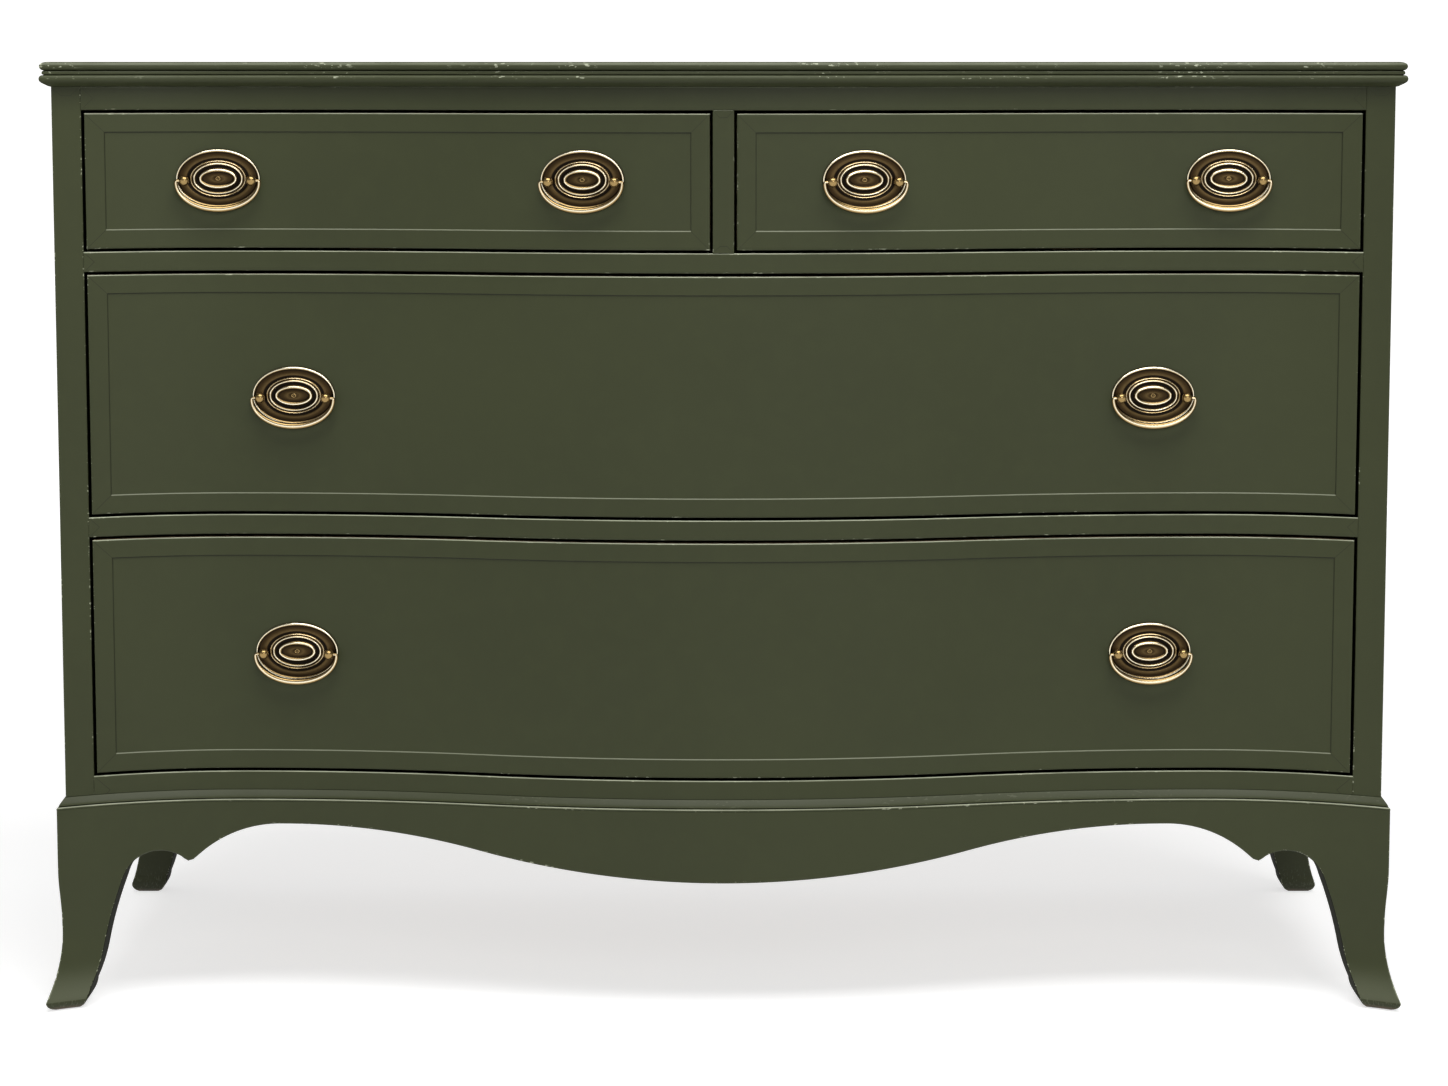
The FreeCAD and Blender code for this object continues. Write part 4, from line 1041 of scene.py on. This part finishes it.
class CHEST_OT_pull_posts(bpy.types.Operator):
    """Ball-headed posts that carry the bails, with their nuts inside the drawer"""

    bl_idname = "chest.pull_posts"
    bl_label = "Pull posts"

    def execute(self, context):
        for drawer in DRAWERS:
            groups = []
            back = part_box(drawer + "_front")[1].y
            for pull in pull_frames(drawer):
                for x in (-POST_X, POST_X):
                    groups.append(self.turned(pull, x, POST_HEAD, 28))
                    wood = (back - pull.at(x, 0.0, 0.0).y) / MM
                    nut = [(radius, -wood - out, 0.5) for radius, out in NUT] + [(2.2, -2.0, 0.5)]
                    groups.append(self.turned(pull, x, nut, 12))
            piece = merged(drawer + "_posts", groups)
            dress(piece, drawer, "brass", [drawer + "_pull_posts"], "antique_brass")
        return {"FINISHED"}

    def turned(self, pull, x, table, count):
        """Turned piece whose table gives (radius, distance out, relief)."""
        rings = [pull.oval(x, 0.0, radius, radius, out, count) for radius, out, _ in table]
        return ringed(rings, [row[2] for row in table])


# Bail in millimetres. Pin: distance right, height, radius of the wire. Then the half oval and its wire.
BAIL_PIN = [(31.4, 0.0, 1.3), (35.0, 0.0, 1.3), (36.6, -0.1, 1.45), (37.3, -0.6, 1.6)]
BAIL_HALF_W, BAIL_TOP, BAIL_DROP = 37.4, -0.6, 25.1
WIRE_THIN, WIRE_GAIN = 1.6, 1.25


class CHEST_OT_bails(bpy.types.Operator):
    """Half-oval swinging handles, thick in the middle and pinned into the posts"""

    bl_idname = "chest.bails"
    bl_label = "Bails"

    def execute(self, context):
        for drawer in DRAWERS:
            for pull in pull_frames(drawer):
                piece = merged(pull.name + "_wire", [self.wire(pull)])
                dress(piece, pull.name, "brass", [pull.name], "antique_brass")
        return {"FINISHED"}

    def wire(self, pull, around=16):
        """Tube along the left pin, the half oval and the right pin."""
        path = [(-x, z, radius) for x, z, radius in BAIL_PIN]
        for turn in spread(0.0, math.pi, 48)[1:-1]:
            sag = math.sin(turn)
            thick = WIRE_THIN + WIRE_GAIN * sag ** 1.5
            path.append((-BAIL_HALF_W * math.cos(turn), BAIL_TOP - BAIL_DROP * sag ** 0.96, thick))
        path += reversed(BAIL_PIN)
        rings = []
        for i, (x, z, radius) in enumerate(path):
            before, after = path[max(i - 1, 0)], path[min(i + 1, len(path) - 1)]
            along = Vector((after[0] - before[0], after[1] - before[1])).normalized()
            ring = []
            for turn in circle(around):
                shift = radius * math.cos(turn)
                out = PIVOT_OUT + radius * math.sin(turn)
                ring.append(pull.at(x - along.y * shift, out, z + along.x * shift))
            rings.append(ring)
        verts, faces, marks = ringed(rings, [0.0] * len(rings))
        # The outward side of the wire is marked as crest and its back as hollow: painted highlight and painted
        # shade.
        marks["relief"] = [0.2 + 0.75 * max(0.0, math.sin(turn)) ** 2 for turn in circle(around)] * len(rings)
        return verts, faces, marks


# Lamps: name, place, target, width, height, watts.
LAMPS = (
    ("overhead", (0.2, -1.35, 3.2), (0.0, -0.2, 0.4), 3.0, 1.6, 92.0),
    ("front", (0.9, -4.4, 2.2), (0.0, 0.0, 0.4), 1.1, 1.0, 26.0),
)


class CHEST_OT_stage(bpy.types.Operator):
    """Pale floor and backdrop, soft lights and the camera"""

    bl_idname = "chest.stage"
    bl_label = "Stage"

    def execute(self, context):
        settings = context.scene.chest_stage
        self.floor(settings)
        for lamp in LAMPS:
            self.lamp(*lamp)
        self.world(context.scene, settings)
        self.camera(context.scene, settings)
        context.scene.view_settings.view_transform = "Standard"
        return {"FINISHED"}

    def floor(self, settings):
        """Wide floor that curves up into a wall all round. It glows more, and stays white, far out."""
        reach, bend, wall, count = 40.0, 4.0, 9.0, 64
        line = [(reach, 0.0)]
        for share in spread(0.0, 1.0, 12)[1:]:
            turn = math.pi / 2 * share
            line.append((reach + bend * math.sin(turn), bend * (1 - math.cos(turn))))
        line.append((reach + bend, wall))
        verts = [(radius * math.cos(t), radius * math.sin(t), z) for radius, z in line for t in circle(count)]
        floor = new_piece("floor", verts, [tuple(range(count))] + ring_quads(len(line), count))
        shader = Shader("studio_floor")
        x, y, _ = shader.axes()
        seen = shader.node("ShaderNodeLightPath", output="Is Camera Ray")
        for ray in ("Is Glossy Ray", "Is Transmission Ray"):
            seen = seen.most(shader.node("ShaderNodeLightPath", output=ray))
        glows = []
        for strength in (settings.floor_glow, 1.0):
            values = {"Color": (1.0, 1.0, 1.0, 1.0), "Strength": seen * strength}
            glows.append(shader.node("ShaderNodeEmission", inputs=values))
        away = ((x * x + y * y) ** 0.5).ramp(1.6, 4.0)
        glow = shader.node("ShaderNodeMixShader", inputs={0: away, 1: glows[0], 2: glows[1]})
        pale = shader.node("ShaderNodeBsdfDiffuse", inputs={"Color": (*settings.floor_colour, 1.0)})
        both = shader.node("ShaderNodeAddShader", inputs={0: pale, 1: glow})
        shader.node("ShaderNodeOutputMaterial", inputs={"Surface": both})
        floor.data.materials.append(shader.material)

    def lamp(self, name, place, target, width, height, power):
        data = bpy.data.lights.new(name, "AREA")
        data.shape = "RECTANGLE"
        data.size, data.size_y = width, height
        data.energy = power
        lamp = bpy.data.objects.new(name, data)
        lamp.location = place
        lamp.rotation_euler = (Vector(target) - Vector(place)).to_track_quat("-Z", "Y").to_euler()
        bpy.context.scene.collection.objects.link(lamp)

    def world(self, scene, settings):
        world = bpy.data.worlds.new("studio_air")
        world.use_nodes = True
        background = world.node_tree.nodes["Background"]
        background.inputs["Color"].default_value = (1.0, 1.0, 1.0, 1.0)
        background.inputs["Strength"].default_value = settings.air_light
        scene.world = world

    def camera(self, scene, settings):
        data = bpy.data.cameras.new("camera")
        data.sensor_width = 36.0
        data.lens = settings.focal
        data.clip_end = 100.0
        camera = bpy.data.objects.new("camera", data)
        trough = SWELL_FRONT + scene.chest_form.swell
        camera.location = (settings.camera_side, trough - settings.camera_distance, settings.camera_height)
        camera.rotation_euler = (math.pi / 2 - settings.pitch, 0.0, 0.0)
        scene.collection.objects.link(camera)
        scene.camera = camera


OPERATORS = (
    CHEST_OT_stage, CHEST_OT_top_panel, CHEST_OT_case_front, CHEST_OT_case_boards, CHEST_OT_base_moulding,
    CHEST_OT_feet, CHEST_OT_aprons, CHEST_OT_drawer_fronts, CHEST_OT_drawer_boxes, CHEST_OT_pull_plates,
    CHEST_OT_pull_posts, CHEST_OT_bails,
)


class CHEST_PT_build(bpy.types.Panel):
    """Settings and build steps of the chest"""

    bl_idname = "CHEST_PT_build"
    bl_label = "Chest of Drawers"
    bl_space_type = "VIEW_3D"
    bl_region_type = "UI"
    bl_category = "Chest"

    def draw(self, context):
        for group in (context.scene.chest_form, context.scene.chest_finish, context.scene.chest_stage):
            box = self.layout.box()
            for key in group.__annotations__:
                box.prop(group, key)
        for operator in OPERATORS:
            self.layout.operator(operator.bl_idname)


SETTINGS = {"chest_form": FormSettings, "chest_finish": FinishSettings, "chest_stage": StageSettings}


def register():
    for group in (*SETTINGS.values(), *OPERATORS, CHEST_PT_build):
        bpy.utils.register_class(group)
    for key, group in SETTINGS.items():
        setattr(bpy.types.Scene, key, PointerProperty(type=group))


def unregister():
    for key in SETTINGS:
        delattr(bpy.types.Scene, key)
    for group in reversed((*SETTINGS.values(), *OPERATORS, CHEST_PT_build)):
        bpy.utils.unregister_class(group)


def main():
    register()
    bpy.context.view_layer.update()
    for operator in OPERATORS:
        group, name = operator.bl_idname.split(".")
        getattr(getattr(bpy.ops, group), name)()


if __name__ == "__main__":
    main()
